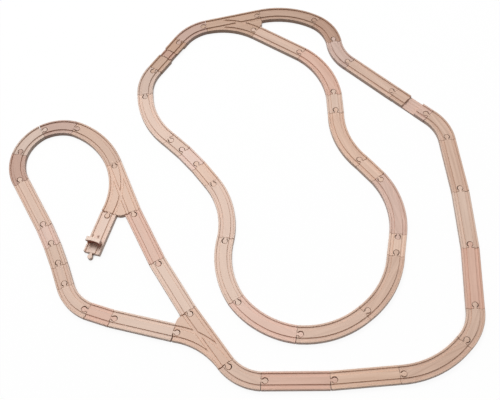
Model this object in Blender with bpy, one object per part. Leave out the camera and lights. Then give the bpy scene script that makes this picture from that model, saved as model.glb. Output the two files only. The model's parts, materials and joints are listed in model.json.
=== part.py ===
"""Wooden toy railway: two closed loops of grooved track, joined by a link line, laid out on a floor.

Every track piece is a flat beech board with two wheel grooves in its deck and a round peg or a
keyhole socket at each end. The pieces come from a small catalogue (straight, short, large curve,
small curve, switch, two telescoping pieces and a spur with a stop) and are laid end to end in runs.
The connectors have play, so neighbours meet at small angles; the layout is closed by spreading
what is left over those angles and over the telescoping piece in the pear loop.

Units are metres, +Z is up and the undersides of the boards lie in z = 0.
"""
import math
from collections import namedtuple

import bmesh
import bpy
import numpy as np
from mathutils import Matrix, Vector

# Board section
TRACK_WIDTH = 0.040
TRACK_THICKNESS = 0.012
EDGE_CHAMFER = 0.0008
CORNER_CHAMFER = 0.0015
GROOVE_WIDTH = 0.006
GROOVE_DEPTH = 0.003
GROOVE_INNER_SPACING = 0.020
# Half outline of a groove: share of its half width, and share of its depth
GROOVE_SHAPE = ((1.0, 0.0), (0.72, 1.0))

# Lengths along the centre line, and centre-line radii
STRAIGHT_LENGTH = 0.144
SHORT_LENGTH = 0.0552
LARGE_RADIUS = 0.202
SMALL_RADIUS = 0.1065
CURVE_ANGLE = math.radians(45)
SWITCH_LENGTH = 0.148
SWITCH_RADIUS = 0.179
SWITCH_CROTCH_BULGE = 0.0025
SPUR_LENGTH = 0.108

# Peg and socket; the sockets are as wide as the layout's largest kink needs, and the clearance
PEG_RADIUS = 0.00575
PEG_REACH = 0.0095
PEG_ROOT = 0.003
PEG_SHY = 0.0004
NECK_WIDTH = 0.006
FIT_CLEARANCE = 0.00025
MOUTH_FLARE = 0.0012
# Most of a socket lip's depth that its flared mouth may take
FLARE_LIMIT = 0.8

# Seams: the least gap between two end faces, and the gap at which a peg stands amid its socket
SEAM_GAP = 0.0004
SEAM_CENTRED = 0.0016

# Telescoping pieces: a sleeve block whose upper half overhangs, and a block with a lower tongue
Expander = namedtuple("Expander", "sleeve opening block overlap tongue_inset")
LINK_EXPANDER = Expander(sleeve=0.038, opening=0.0375, block=0.0305, overlap=0.026, tongue_inset=0.0005)
PEAR_EXPANDER = Expander(sleeve=0.0425, opening=0.025, block=0.044, overlap=0.026, tongue_inset=0.003)
SHELF_HEIGHT = 0.006
SLIDE_CLEARANCE = 0.0003
CLOSING_TRAVEL = 0.004
OPENING_TRAVEL = 0.010
PIN_RADIUS = 0.003
PIN_SETBACK = 0.010
PIN_DEPTH = 0.0035
PIN_FOOT = 0.0006
SLOT_PLAY = 0.0004
FILLER_GAP = 0.0007

# Stop at the end of the spur
STOP_SETBACK = 0.0185
STOP_DEPTH = 0.012
POST_WIDTH = 0.030
POST_HEIGHT = 0.0135
POST_HOLLOW = 0.0065
BEAM_WIDTH = 0.036
BEAM_HEIGHT = 0.0065
BEAM_HOLLOW = 0.0025
BEAM_ROUNDING = 0.0012
BUFFER_SPACING = 0.014
BUFFER_STEM_RADIUS = 0.002
BUFFER_HEAD_RADIUS = 0.003
BUFFER_LENGTH = 0.0085
BUFFER_HEAD_LENGTH = 0.0035
BUFFER_DOME = 0.0009
GLUE_GAP = 0.0003

# Facets
LARGE_STEPS = 7
SMALL_STEPS = 5
ROUND_STEPS = 11
BULGE_STEPS = 4
HOLLOW_STEPS = 10
CUTTER_MARGIN = 0.001
SHARP_ANGLE = math.radians(40)

# Where the layout starts: the pear loop's switch, its single end first
START_HEADING = math.radians(4.2)

LEFT = 1
RIGHT = -1
AHEAD = 0
PEG = "peg"
SOCKET = "socket"

# One row per piece, in the order they are laid: kind, turn, and the kink in degrees, anticlockwise
# positive, by which its heading differs from its predecessor's. Ends are socket first and peg last,
# or the other way round on the link line, unless a row says otherwise.
Row = namedtuple("Row", "kind turn kink ends", defaults=(None,))
PEAR_RUN = (
    Row("small_curve", LEFT, 0.5),
    Row("pear_expander", AHEAD, -1.0),
    Row("small_curve", LEFT, -3.0),
    Row("large_curve", LEFT, -3.5),
    Row("short", AHEAD, -3.5, (SOCKET, SOCKET)),
    Row("short", AHEAD, -4.5, (PEG, SOCKET)),
    Row("short", AHEAD, -4.0, (PEG, PEG)),
    Row("large_curve", RIGHT, 0.0),
    Row("large_curve", LEFT, -4.0),
    Row("large_curve", LEFT, 3.5),
    Row("large_curve", LEFT, 3.5),
    Row("large_curve", LEFT, -2.0),
    Row("short", AHEAD, -2.5, (SOCKET, SOCKET)),
    Row("large_curve", LEFT, 0.0, (PEG, SOCKET)),
    Row("short", AHEAD, 3.5, (PEG, PEG)),
    Row("large_curve", RIGHT, 4.5),
    Row("short", AHEAD, 4.0),
    Row("large_curve", LEFT, 4.5),
    Row("straight", AHEAD, 4.0),
)
PEAR_CLOSING_KINK = 0.5
LINK_RUN = (
    Row("large_curve", RIGHT, -0.5),
    Row("small_curve", RIGHT, -2.5),
    Row("small_curve", LEFT, -3.5),
    Row("straight", AHEAD, -3.5),
    Row("link_expander", AHEAD, 0.5),
    Row("small_curve", RIGHT, 2.5),
    Row("straight", AHEAD, 1.0),
    Row("straight", AHEAD, -4.0),
    Row("straight", AHEAD, -4.5),
    Row("small_curve", RIGHT, 2.0),
    Row("large_curve", RIGHT, 3.5),
    Row("straight", AHEAD, 1.5),
    Row("straight", AHEAD, -4.5),
    Row("small_curve", RIGHT, -4.0),
)
LINK_CLOSING_KINK = -5.0
DROP_RUN = (
    Row("straight", AHEAD, -5.0, (PEG, SOCKET)),
    Row("short", AHEAD, -4.5, (PEG, PEG)),
    Row("small_curve", RIGHT, -4.5),
    Row("short", AHEAD, -0.5),
    Row("short", AHEAD, 2.5),
    Row("short", AHEAD, 3.5),
    Row("straight", AHEAD, 3.5),
    Row("small_curve", RIGHT, 3.5),
    Row("small_curve", RIGHT, -1.5),
    Row("small_curve", RIGHT, -4.5),
    Row("large_curve", RIGHT, -4.5),
)
DROP_CLOSING_KINK = 0.5
CROSS_RUN = (
    Row("straight", AHEAD, -3.5),
    Row("straight", AHEAD, -5.0),
)
CROSS_CLOSING_KINK = -4.0
SPUR_KINK = 5.0

# Beech tones, linear colour; pieces take them in turn, and two stand out in the set
BEECH_TONES = ((0.64, 0.45, 0.35), (0.61, 0.42, 0.32), (0.68, 0.50, 0.40), (0.65, 0.45, 0.37))
TAN_BEECH = (0.48, 0.31, 0.23)
PINK_BEECH = (0.52, 0.34, 0.27)
TAN_PIECE = "link_small_curve_1"
PINK_PIECE = "drop_small_curve_2"
WOOD_ROUGHNESS = 0.55

Pose = namedtuple("Pose", "x y heading")
Placed = namedtuple("Placed", "name kind turn ends pose")


def advance(pose, length):
    """The pose reached by going straight on."""
    along = length * math.cos(pose.heading)
    aside = length * math.sin(pose.heading)
    return Pose(pose.x + along, pose.y + aside, pose.heading)


def swing(pose, radius, turn):
    """The pose reached along an arc of the curve angle."""
    heading = pose.heading + turn * CURVE_ANGLE
    return Pose(
        pose.x + turn * radius * (math.sin(heading) - math.sin(pose.heading)),
        pose.y - turn * radius * (math.cos(heading) - math.cos(pose.heading)),
        heading,
    )


def seam_gap(kink):
    """Gap at the middle of a seam: it grows with the kink so that the end faces' corners stay apart."""
    return SEAM_GAP + TRACK_WIDTH / 2 * math.tan(math.sqrt(kink * kink + 1e-8))


def cross_seam(pose, kink):
    """The pose of the next piece, past a seam with a kink."""
    gap = seam_gap(kink)
    middle = advance(pose, gap / 2)
    return advance(middle._replace(heading=pose.heading + kink), gap / 2)


def expander_length(sizes):
    return sizes.sleeve + sizes.opening + sizes.block


def far_end(pose, kind, turn, stretch):
    """Pose at the far end of a piece; stretch lengthens the pear loop's telescoping piece."""
    if kind == "large_curve":
        return swing(pose, LARGE_RADIUS, turn)
    if kind == "small_curve":
        return swing(pose, SMALL_RADIUS, turn)
    lengths = {
        "straight": STRAIGHT_LENGTH,
        "short": SHORT_LENGTH,
        "link_expander": expander_length(LINK_EXPANDER),
        "pear_expander": expander_length(PEAR_EXPANDER) + stretch,
    }
    return advance(pose, lengths[kind])


def lay_run(run_name, rows, kinks, pose, default_ends, stretch, placed):
    """Lay a run of pieces from a pose, and give the pose where the next piece would start."""
    counts = {}
    for row, kink in zip(rows, kinks):
        pose = cross_seam(pose, kink)
        counts[row.kind] = counts.get(row.kind, 0) + 1
        name = row.kind if row.kind.endswith("expander") else f"{run_name}_{row.kind}_{counts[row.kind]}"
        placed.append(Placed(name, row.kind, row.turn, row.ends or default_ends, pose))
        pose = far_end(pose, row.kind, row.turn, stretch)
    return cross_seam(pose, kinks[len(rows)])


def reverse(pose):
    return pose._replace(heading=pose.heading + math.pi)


def lay_layout(values):
    """All pieces for one set of kinks, and the two loops' closing errors (across, along, heading)."""
    stretch = values[0]
    kinks = iter(values[1:])

    def take(rows):
        return [next(kinks) for _ in range(len(rows) + 1)]

    placed = []
    pear_switch = Pose(0.0, 0.0, START_HEADING)
    placed.append(Placed("switch_pear", "switch", RIGHT, (PEG, SOCKET, SOCKET), pear_switch))
    through = (SOCKET, PEG)
    against = (PEG, SOCKET)
    pear_end = lay_run("pear", PEAR_RUN, take(PEAR_RUN), reverse(pear_switch), through, stretch, placed)
    link_start = advance(pear_switch, SWITCH_LENGTH)
    drop_switch = lay_run("link", LINK_RUN, take(LINK_RUN), link_start, against, stretch, placed)
    placed.append(Placed("switch_drop", "switch", LEFT, (PEG, SOCKET, SOCKET), drop_switch))
    drop_start = swing(drop_switch, SWITCH_RADIUS, LEFT)
    spur_switch = lay_run("drop", DROP_RUN, take(DROP_RUN), drop_start, through, stretch, placed)
    placed.append(Placed("switch_spur", "switch", RIGHT, (SOCKET, PEG, PEG), spur_switch))
    cross_start = advance(drop_switch, SWITCH_LENGTH)
    cross_end = lay_run("cross", CROSS_RUN, take(CROSS_RUN), cross_start, against, stretch, placed)
    spur = cross_seam(swing(spur_switch, SWITCH_RADIUS, RIGHT), math.radians(SPUR_KINK))
    placed.append(Placed("spur_track", "spur", AHEAD, through, spur))

    misfits = []
    pear_goal = reverse(swing(pear_switch, SWITCH_RADIUS, RIGHT))
    cross_goal = reverse(advance(spur_switch, SWITCH_LENGTH))
    for end, goal in ((pear_end, pear_goal), (cross_end, cross_goal)):
        turn_error = math.remainder(end.heading - goal.heading, 2 * math.pi)
        misfits += [end.x - goal.x, end.y - goal.y, turn_error * TRACK_WIDTH]
    return placed, np.array(misfits)


def close_layout():
    """Kinks and stretch that close both loops with the least change from the laid ones (Gauss-Newton)."""
    degrees = []
    for rows, closing in (
        (PEAR_RUN, PEAR_CLOSING_KINK),
        (LINK_RUN, LINK_CLOSING_KINK),
        (DROP_RUN, DROP_CLOSING_KINK),
        (CROSS_RUN, CROSS_CLOSING_KINK),
    ):
        degrees += [row.kink for row in rows] + [closing]
    wanted = np.concatenate(([0.0], np.radians(degrees)))
    # A millimetre of stretch is as easy as a quarter of a degree of kink
    ease = np.full(len(wanted), math.radians(0.25))
    ease[0] = 0.001
    values = wanted.copy()
    step = 1e-6
    for _ in range(12):
        misfit = lay_layout(values)[1]
        slopes = np.empty((len(misfit), len(values)))
        for column in range(len(values)):
            nudged = values.copy()
            nudged[column] += step
            slopes[:, column] = (lay_layout(nudged)[1] - misfit) / step
        scaled = slopes * ease
        change = np.linalg.lstsq(scaled, misfit - slopes @ (values - wanted), rcond=None)[0]
        values = wanted - ease * change
    return values


def socket_sizes(kinks):
    """Radius of the sockets and half width of their mouths that clear the pegs at every kink."""
    depth = PEG_REACH - SEAM_CENTRED
    radius = 0.0
    for kink in kinks:
        gap = seam_gap(kink)
        along = (PEG_REACH - gap / 2) * math.cos(kink) - (depth + gap / 2)
        across = (PEG_REACH - gap / 2) * math.sin(kink)
        radius = max(radius, PEG_RADIUS + math.hypot(along, across) + FIT_CLEARANCE)
    throat = depth - math.sqrt(radius ** 2 - (NECK_WIDTH / 2) ** 2)
    mouth = 0.0
    for kink in kinks:
        lean = (seam_gap(kink) / 2 + throat) * math.tan(abs(kink))
        mouth = max(mouth, NECK_WIDTH / 2 / math.cos(kink) + lean + FIT_CLEARANCE)
    return radius, mouth


def port(pose):
    """Matrix of a port frame whose X axis points out of the piece."""
    return Matrix.Translation((pose.x, pose.y, 0.0)) @ Matrix.Rotation(pose.heading, 4, "Z")


def mesh_from(shape):
    """A Blender mesh from a bmesh, with its faces turned outwards."""
    bmesh.ops.recalc_face_normals(shape, faces=shape.faces)
    mesh = bpy.data.meshes.new("shape")
    shape.to_mesh(mesh)
    shape.free()
    return mesh


def prism(outline, low, high):
    """An upright prism on a flat outline of (x, y) points."""
    shape = bmesh.new()
    base = shape.faces.new([shape.verts.new((x, y, low)) for x, y in outline])
    raised = bmesh.ops.extrude_face_region(shape, geom=[base])["geom"]
    tops = [item for item in raised if isinstance(item, bmesh.types.BMVert)]
    bmesh.ops.translate(shape, verts=tops, vec=(0.0, 0.0, high - low))
    return mesh_from(shape)


def box(x_range, y_range, z_range):
    """A block between two corners."""
    shape = bmesh.new()
    bmesh.ops.create_cube(shape, size=1.0)
    for vert in shape.verts:
        for axis, (low, high) in enumerate((x_range, y_range, z_range)):
            vert.co[axis] = low if vert.co[axis] < 0 else high
    return mesh_from(shape)


def sweep(section, length, radius=None, turn=AHEAD, steps=1, margin=0.0):
    """Carry a section of (across, height) points along a straight or an arc from the origin."""
    shape = bmesh.new()
    face = shape.faces.new([shape.verts.new((-margin, y, z)) for y, z in section])
    if turn == AHEAD:
        moved = bmesh.ops.extrude_face_region(shape, geom=[face])["geom"]
        far = [item for item in moved if isinstance(item, bmesh.types.BMVert)]
        bmesh.ops.translate(shape, verts=far, vec=(length + 2 * margin, 0.0, 0.0))
    else:
        overrun = margin / radius
        centre = Vector((0.0, turn * radius, 0.0))
        bmesh.ops.translate(shape, verts=shape.verts, vec=(margin, 0.0, 0.0))
        back = Matrix.Rotation(-turn * overrun, 3, "Z")
        bmesh.ops.rotate(shape, verts=shape.verts, cent=centre, matrix=back)
        bmesh.ops.spin(
            shape, geom=[face], cent=centre, axis=(0.0, 0.0, 1.0), steps=steps,
            angle=turn * (CURVE_ANGLE + 2 * overrun), dvec=(0.0, 0.0, 0.0),
        )
    return mesh_from(shape)


def groove_outline(centre):
    """Points of one groove across the deck, from its +Y edge to its -Y edge."""
    half = GROOVE_WIDTH / 2
    down = [(centre + share * half, TRACK_THICKNESS - depth * GROOVE_DEPTH) for share, depth in GROOVE_SHAPE]
    up = [(centre - share * half, TRACK_THICKNESS - depth * GROOVE_DEPTH) for share, depth in GROOVE_SHAPE]
    return down + up[::-1]


def groove_centres():
    offset = (GROOVE_INNER_SPACING + GROOVE_WIDTH) / 2
    return offset, -offset


def board_section(bottom=0.0):
    """Section of a board with both grooves and chamfered upper edges."""
    half = TRACK_WIDTH / 2
    shoulder = TRACK_THICKNESS - EDGE_CHAMFER
    points = [(-half, bottom), (half, bottom), (half, shoulder), (half - EDGE_CHAMFER, TRACK_THICKNESS)]
    for centre in groove_centres():
        points += groove_outline(centre)
    return points + [(EDGE_CHAMFER - half, TRACK_THICKNESS), (-half, shoulder)]


def combine(body, tool, operation):
    """The body after a Boolean with the tool; both meshes are used up."""
    body_object = bpy.data.objects.new("body", body)
    tool_object = bpy.data.objects.new("tool", tool)
    tool_object.hide_render = True
    tool_object.display_type = "WIRE"
    parts_collection.objects.link(body_object)
    cutters_collection.objects.link(tool_object)
    modifier = body_object.modifiers.new("shape", "BOOLEAN")
    modifier.operation = operation
    modifier.object = tool_object
    depsgraph = bpy.context.evaluated_depsgraph_get()
    result = bpy.data.meshes.new_from_object(body_object.evaluated_get(depsgraph))
    for used in (body_object, tool_object):
        bpy.data.objects.remove(used)
    for mesh in (body, tool):
        bpy.data.meshes.remove(mesh)
    return result


def keyhole(neck_half, radius, reach, lead):
    """Outline of a neck from the lead points to a round head, in the port frame, heading +X."""
    opening = math.asin(neck_half / radius)
    head = []
    for step in range(ROUND_STEPS + 1):
        angle = (math.pi - opening) * (2 * step / ROUND_STEPS - 1)
        head.append((reach + radius * math.cos(angle), radius * math.sin(angle)))
    return [(x, -y) for x, y in lead] + head + lead[::-1]


def add_connector(body, pose, end, socket):
    """Join a peg to the board at a port, or cut a socket (radius, mouth half width) into it there."""
    if end == PEG:
        half = NECK_WIDTH / 2
        outline = keyhole(half, PEG_RADIUS, PEG_REACH, [(-PEG_ROOT, half)])
        tool = prism(outline, PEG_SHY, TRACK_THICKNESS - PEG_SHY)
        tool.transform(port(pose))
        return combine(body, tool, "UNION")
    radius, half = socket
    depth = PEG_REACH - SEAM_CENTRED
    around = radius / math.cos(math.pi / ROUND_STEPS)
    lip = depth - math.sqrt(around ** 2 - half ** 2)
    flare = min(MOUTH_FLARE, FLARE_LIMIT * lip)
    lead = [(-CUTTER_MARGIN, half + flare + CUTTER_MARGIN), (flare, half)]
    outline = keyhole(half, around, depth, lead)
    tool = prism(outline, -CUTTER_MARGIN, TRACK_THICKNESS + CUTTER_MARGIN)
    tool.transform(port(reverse(pose)))
    return combine(body, tool, "DIFFERENCE")


def end_offsets(vert, pose):
    """How far a vertex lies past a port's end face, and how far to its left."""
    reach = vert.co.xy - Vector((pose.x, pose.y))
    along = Vector((math.cos(pose.heading), math.sin(pose.heading)))
    return reach.dot(along), along.cross(reach)


def chamfer_corners(body, ports):
    """Take the sharp upright corners off the board at its end faces."""
    shape = bmesh.new()
    shape.from_mesh(body)
    inside = TRACK_WIDTH / 2 - 2 * EDGE_CHAMFER

    def is_corner(edge, pose):
        offsets = [end_offsets(vert, pose) for vert in edge.verts]
        on_face = all(abs(past) < CUTTER_MARGIN / 10 for past, _ in offsets)
        on_left = all(inside < left < TRACK_WIDTH for _, left in offsets)
        on_right = all(-TRACK_WIDTH < left < -inside for _, left in offsets)
        return on_face and (on_left or on_right)

    corners = [edge for edge in shape.edges if any(is_corner(edge, pose) for pose in ports)]
    bmesh.ops.bevel(shape, geom=corners, offset=CORNER_CHAMFER, segments=1, affect="EDGES", profile=0.5)
    bpy.data.meshes.remove(body)
    return mesh_from(shape)


def finish_ends(body, ports, ends, socket):
    for pose, end in zip(ports, ends):
        body = add_connector(body, pose, end, socket)
    return body


NEAR_PORT = Pose(0.0, 0.0, math.pi)
ORIGIN = Pose(0.0, 0.0, 0.0)


def plain_track(kind, turn, ends, socket):
    """A straight, short, spur or curved board with its connectors."""
    if turn == AHEAD:
        length = {"straight": STRAIGHT_LENGTH, "short": SHORT_LENGTH, "spur": SPUR_LENGTH}[kind]
        body = sweep(board_section(), length)
        far = advance(ORIGIN, length)
    else:
        arcs = {"large_curve": (LARGE_RADIUS, LARGE_STEPS), "small_curve": (SMALL_RADIUS, SMALL_STEPS)}
        radius, steps = arcs[kind]
        body = sweep(board_section(), None, radius, turn, steps)
        far = swing(ORIGIN, radius, turn)
    ports = (NEAR_PORT, far)
    return finish_ends(chamfer_corners(body, ports), ports, ends, socket)


def switch_outline(turn):
    """Plan of a switch that branches to one side, its crotch closed by a bulged edge."""
    half = TRACK_WIDTH / 2
    branch = swing(ORIGIN, SWITCH_RADIUS, turn)
    across = Vector((-math.sin(branch.heading), math.cos(branch.heading)))
    tip = Vector((branch.x, branch.y))
    inner = tip - turn * half * across
    straight_inner = Vector((SWITCH_LENGTH, turn * half))
    chord = inner - straight_inner
    outward = Vector((chord.y, -chord.x)).normalized() * turn * -1
    points = [Vector((0.0, -turn * half)), Vector((SWITCH_LENGTH, -turn * half))]
    for step in range(BULGE_STEPS + 1):
        share = step / BULGE_STEPS
        bulge = SWITCH_CROTCH_BULGE * 4 * share * (1 - share)
        points.append(straight_inner + share * chord + bulge * outward)
    for step in range(LARGE_STEPS + 1):
        angle = CURVE_ANGLE * (1 - step / LARGE_STEPS)
        reach = SWITCH_RADIUS - half
        points.append(Vector((reach * math.sin(angle), turn * (SWITCH_RADIUS - reach * math.cos(angle)))))
    return [tuple(point) for point in points]


def chamfer_rim(body, ports):
    """Chamfer the deck's long edges, leaving those on the end faces at the ports square."""
    shape = bmesh.new()
    shape.from_mesh(body)

    def lies_on(edge, pose):
        offsets = [end_offsets(vert, pose) for vert in edge.verts]
        return all(abs(past) < CUTTER_MARGIN / 10 and abs(left) < TRACK_WIDTH for past, left in offsets)

    rim = [
        edge for edge in shape.edges
        if all(vert.co.z > TRACK_THICKNESS / 2 for vert in edge.verts)
        and not any(lies_on(edge, pose) for pose in ports)
    ]
    bmesh.ops.bevel(shape, geom=rim, offset=EDGE_CHAMFER, segments=1, affect="EDGES", profile=0.5)
    bpy.data.meshes.remove(body)
    return mesh_from(shape)


def switch_track(turn, ends, socket):
    """A switch: one outline, four grooves that cross, and three connectors."""
    ports = (NEAR_PORT, advance(ORIGIN, SWITCH_LENGTH), swing(ORIGIN, SWITCH_RADIUS, turn))
    body = chamfer_rim(prism(switch_outline(turn), 0.0, TRACK_THICKNESS), ports)
    body = chamfer_corners(body, ports)
    lid = TRACK_THICKNESS + CUTTER_MARGIN
    for centre in groove_centres():
        outline = groove_outline(centre)
        section = [(outline[0][0], lid)] + outline + [(outline[-1][0], lid)]
        body = combine(body, sweep(section, SWITCH_LENGTH, margin=CUTTER_MARGIN), "DIFFERENCE")
        cutter = sweep(section, None, SWITCH_RADIUS, turn, LARGE_STEPS, CUTTER_MARGIN)
        body = combine(body, cutter, "DIFFERENCE")
    return finish_ends(body, ports, ends, socket)


def cylinder(centre, radius, low, high):
    """An upright round pin or hole."""
    shape = bmesh.new()
    middle = Matrix.Translation((*centre, (low + high) / 2))
    bmesh.ops.create_cone(
        shape, cap_ends=True, segments=ROUND_STEPS, radius1=radius, radius2=radius,
        depth=high - low, matrix=middle,
    )
    return mesh_from(shape)


def slot_outline(start, end, radius):
    """Plan of a slot with round ends, along X."""
    points = []
    for middle, first in ((end, -math.pi / 2), (start, math.pi / 2)):
        for step in range(ROUND_STEPS // 2 + 1):
            angle = first + math.pi * step / (ROUND_STEPS // 2)
            points.append((middle + radius * math.cos(angle), radius * math.sin(angle)))
    return points


def pin_place(sizes):
    return sizes.sleeve - PIN_SETBACK


def expander_sleeve(sizes, end, socket):
    """Block whose upper half overhangs the tongue, with a blind hole for the guide pin."""
    body = chamfer_corners(sweep(board_section(), sizes.sleeve), [NEAR_PORT])
    inner = sizes.sleeve - sizes.overlap - CLOSING_TRAVEL - SLIDE_CLEARANCE
    wide = TRACK_WIDTH / 2 + CUTTER_MARGIN
    rebate = box((inner, sizes.sleeve + CUTTER_MARGIN), (-wide, wide), (-CUTTER_MARGIN, SHELF_HEIGHT))
    body = combine(body, rebate, "DIFFERENCE")
    hole = cylinder(
        (pin_place(sizes), 0.0), PIN_RADIUS + GLUE_GAP,
        SHELF_HEIGHT - CUTTER_MARGIN, SHELF_HEIGHT + PIN_DEPTH,
    )
    body = combine(body, hole, "DIFFERENCE")
    return add_connector(body, NEAR_PORT, end, socket)


def expander_pin(sizes):
    """Dowel glued in the sleeve, which runs in the tongue's slot."""
    return cylinder((pin_place(sizes), 0.0), PIN_RADIUS, PIN_FOOT, SHELF_HEIGHT + PIN_DEPTH - GLUE_GAP)


def expander_tongue(sizes, opening, end, socket):
    """Block with a half-height tongue under the sleeve, slotted for the guide pin."""
    start = sizes.sleeve + opening
    outer_end = Pose(start + sizes.block, 0.0, 0.0)
    body = sweep(board_section(), sizes.block)
    body.transform(Matrix.Translation((start, 0.0, 0.0)))
    body = chamfer_corners(body, [outer_end])
    half = TRACK_WIDTH / 2 - sizes.tongue_inset
    tip = sizes.sleeve - sizes.overlap
    tongue = box((tip, start + PEG_ROOT), (-half, half), (0.0, SHELF_HEIGHT - SLIDE_CLEARANCE))
    body = combine(body, tongue, "UNION")
    middle = pin_place(sizes)
    outline = slot_outline(middle - OPENING_TRAVEL, middle + CLOSING_TRAVEL, PIN_RADIUS + SLOT_PLAY)
    slot = prism(outline, -CUTTER_MARGIN, SHELF_HEIGHT + CUTTER_MARGIN)
    body = combine(body, slot, "DIFFERENCE")
    return add_connector(body, outer_end, end, socket)


def expander_filler(sizes, opening):
    """Loose grooved saddle that lies on the open tongue and carries the wheels across."""
    body = sweep(board_section(SHELF_HEIGHT), opening - 2 * FILLER_GAP)
    body.transform(Matrix.Translation((sizes.sleeve + FILLER_GAP, 0.0, 0.0)))
    return body


def stop_face():
    """Distance along the spur of the stop's face towards the trains."""
    return SPUR_LENGTH - STOP_SETBACK - STOP_DEPTH


def hollow_outline(width, hollow):
    """Plan of a block across the spur whose back, towards the free peg, is hollowed by an arc."""
    front = stop_face()
    back = front + STOP_DEPTH
    half = width / 2
    radius = (half ** 2 + hollow ** 2) / (2 * hollow)
    reach = math.asin(half / radius)
    arc = []
    for step in range(HOLLOW_STEPS + 1):
        angle = reach * (2 * step / HOLLOW_STEPS - 1)
        arc.append((back - hollow + radius * (1 - math.cos(angle)), radius * math.sin(angle)))
    return [(front, -half), *arc, (front, half)]


def rounded_prism(outline, low, high, rounding):
    """A prism with its rims and upright corners rounded over."""
    body = prism(outline, low, high)
    shape = bmesh.new()
    shape.from_mesh(body)
    sharp = [edge for edge in shape.edges if edge.calc_face_angle() > SHARP_ANGLE]
    bmesh.ops.bevel(shape, geom=sharp, offset=rounding, segments=2, affect="EDGES", profile=0.5)
    bpy.data.meshes.remove(body)
    return mesh_from(shape)


def post_base():
    return TRACK_THICKNESS + GLUE_GAP


def beam_base():
    return post_base() + POST_HEIGHT + GLUE_GAP


def stop_post():
    """Upright block, deeply hollowed at its back."""
    return prism(hollow_outline(POST_WIDTH, POST_HOLLOW), post_base(), post_base() + POST_HEIGHT)


def stop_beam():
    """Rounded cross beam that overhangs the post's hollow, its back edge drawn in a little."""
    outline = hollow_outline(BEAM_WIDTH, BEAM_HOLLOW)
    return rounded_prism(outline, beam_base(), beam_base() + BEAM_HEIGHT, BEAM_ROUNDING)


def buffer(side):
    """Turned knob on the beam's face: a stem and a domed head, about an axis along the track."""
    shape = bmesh.new()
    neck = BUFFER_LENGTH - BUFFER_HEAD_LENGTH
    profile = (
        (0.0, 0.0),
        (0.0, BUFFER_STEM_RADIUS),
        (neck, BUFFER_STEM_RADIUS),
        (neck, BUFFER_HEAD_RADIUS),
        (BUFFER_LENGTH - BUFFER_DOME, BUFFER_HEAD_RADIUS),
        (BUFFER_LENGTH, BUFFER_HEAD_RADIUS - BUFFER_DOME),
        (BUFFER_LENGTH, 0.0),
    )
    verts = [shape.verts.new((-along, out, 0.0)) for along, out in profile]
    edges = [shape.edges.new(pair) for pair in zip(verts, verts[1:])]
    bmesh.ops.spin(
        shape, geom=verts + edges, cent=(0.0, 0.0, 0.0), axis=(1.0, 0.0, 0.0), angle=2 * math.pi,
        steps=ROUND_STEPS, dvec=(0.0, 0.0, 0.0), use_merge=True,
    )
    bmesh.ops.remove_doubles(shape, verts=shape.verts, dist=1e-5)
    body = mesh_from(shape)
    height = beam_base() + BEAM_HEIGHT / 2
    body.transform(Matrix.Translation((stop_face() - GLUE_GAP, side * BUFFER_SPACING / 2, height)))
    return body


def wood(name, colour):
    """Clear-finished wood of one tone."""
    material = bpy.data.materials.new(name)
    material.use_nodes = True
    surface = material.node_tree.nodes["Principled BSDF"]
    surface.inputs["Base Color"].default_value = (*colour, 1.0)
    surface.inputs["Roughness"].default_value = WOOD_ROUGHNESS
    surface.inputs["Metallic"].default_value = 0.0
    return material


def add_empty(name, pose, parent=None):
    """A frame that pieces hang on."""
    frame = bpy.data.objects.new(name, None)
    parts_collection.objects.link(frame)
    frame.matrix_world = port(pose)
    if parent:
        attach(frame, parent)
    return frame


def attach(child, parent):
    """Parent a piece without moving it."""
    bpy.context.view_layer.update()
    child.parent = parent
    child.matrix_parent_inverse = parent.matrix_world.inverted()


def add_node(name, mesh, pose, parent):
    """One named piece at its pose, with its own tone of wood."""
    if mesh.users == 0:
        mesh.name = name
    node = bpy.data.objects.new(name, mesh)
    parts_collection.objects.link(node)
    node.matrix_world = port(pose)
    attach(node, parent)
    tone = {TAN_PIECE: TAN_BEECH, PINK_PIECE: PINK_BEECH}.get(name)
    if tone is None:
        tone = BEECH_TONES[len(parts_collection.objects) % len(BEECH_TONES)]
    if not mesh.materials:
        mesh.materials.append(None)
    node.material_slots[0].link = "OBJECT"
    node.material_slots[0].material = wood(f"wood_{name}", tone)
    return node


def peg_pivot(piece):
    """Pose on the axis of the peg at the far end of a placed piece."""
    return advance(far_end(piece.pose, piece.kind, piece.turn, 0.0), PEG_REACH)


def clear_scene():
    for item in list(bpy.data.objects):
        bpy.data.objects.remove(item)


def new_collection(name):
    collection = bpy.data.collections.new(name)
    bpy.context.scene.collection.children.link(collection)
    return collection


def catalogue(socket):
    """A function that gives the mesh of a plain piece or switch, made once for each shape."""
    made = {}

    def shape_of(kind, turn, ends):
        key = (kind, turn, ends)
        if key not in made:
            if kind == "switch":
                made[key] = switch_track(turn, ends, socket)
            else:
                made[key] = plain_track(kind, turn, ends, socket)
        return made[key]

    return shape_of


# The first piece that hangs on each frame, in the order of laying
FRAME_STARTS = {
    "switch_pear": "layout",
    "pear_small_curve_2": "pear_slide",
    "pear_large_curve_1": "pear_elbow",
    "pear_large_curve_5": "pear_far_elbow",
    "link_large_curve_1": "layout",
    "link_small_curve_3": "link_slide",
}


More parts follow.
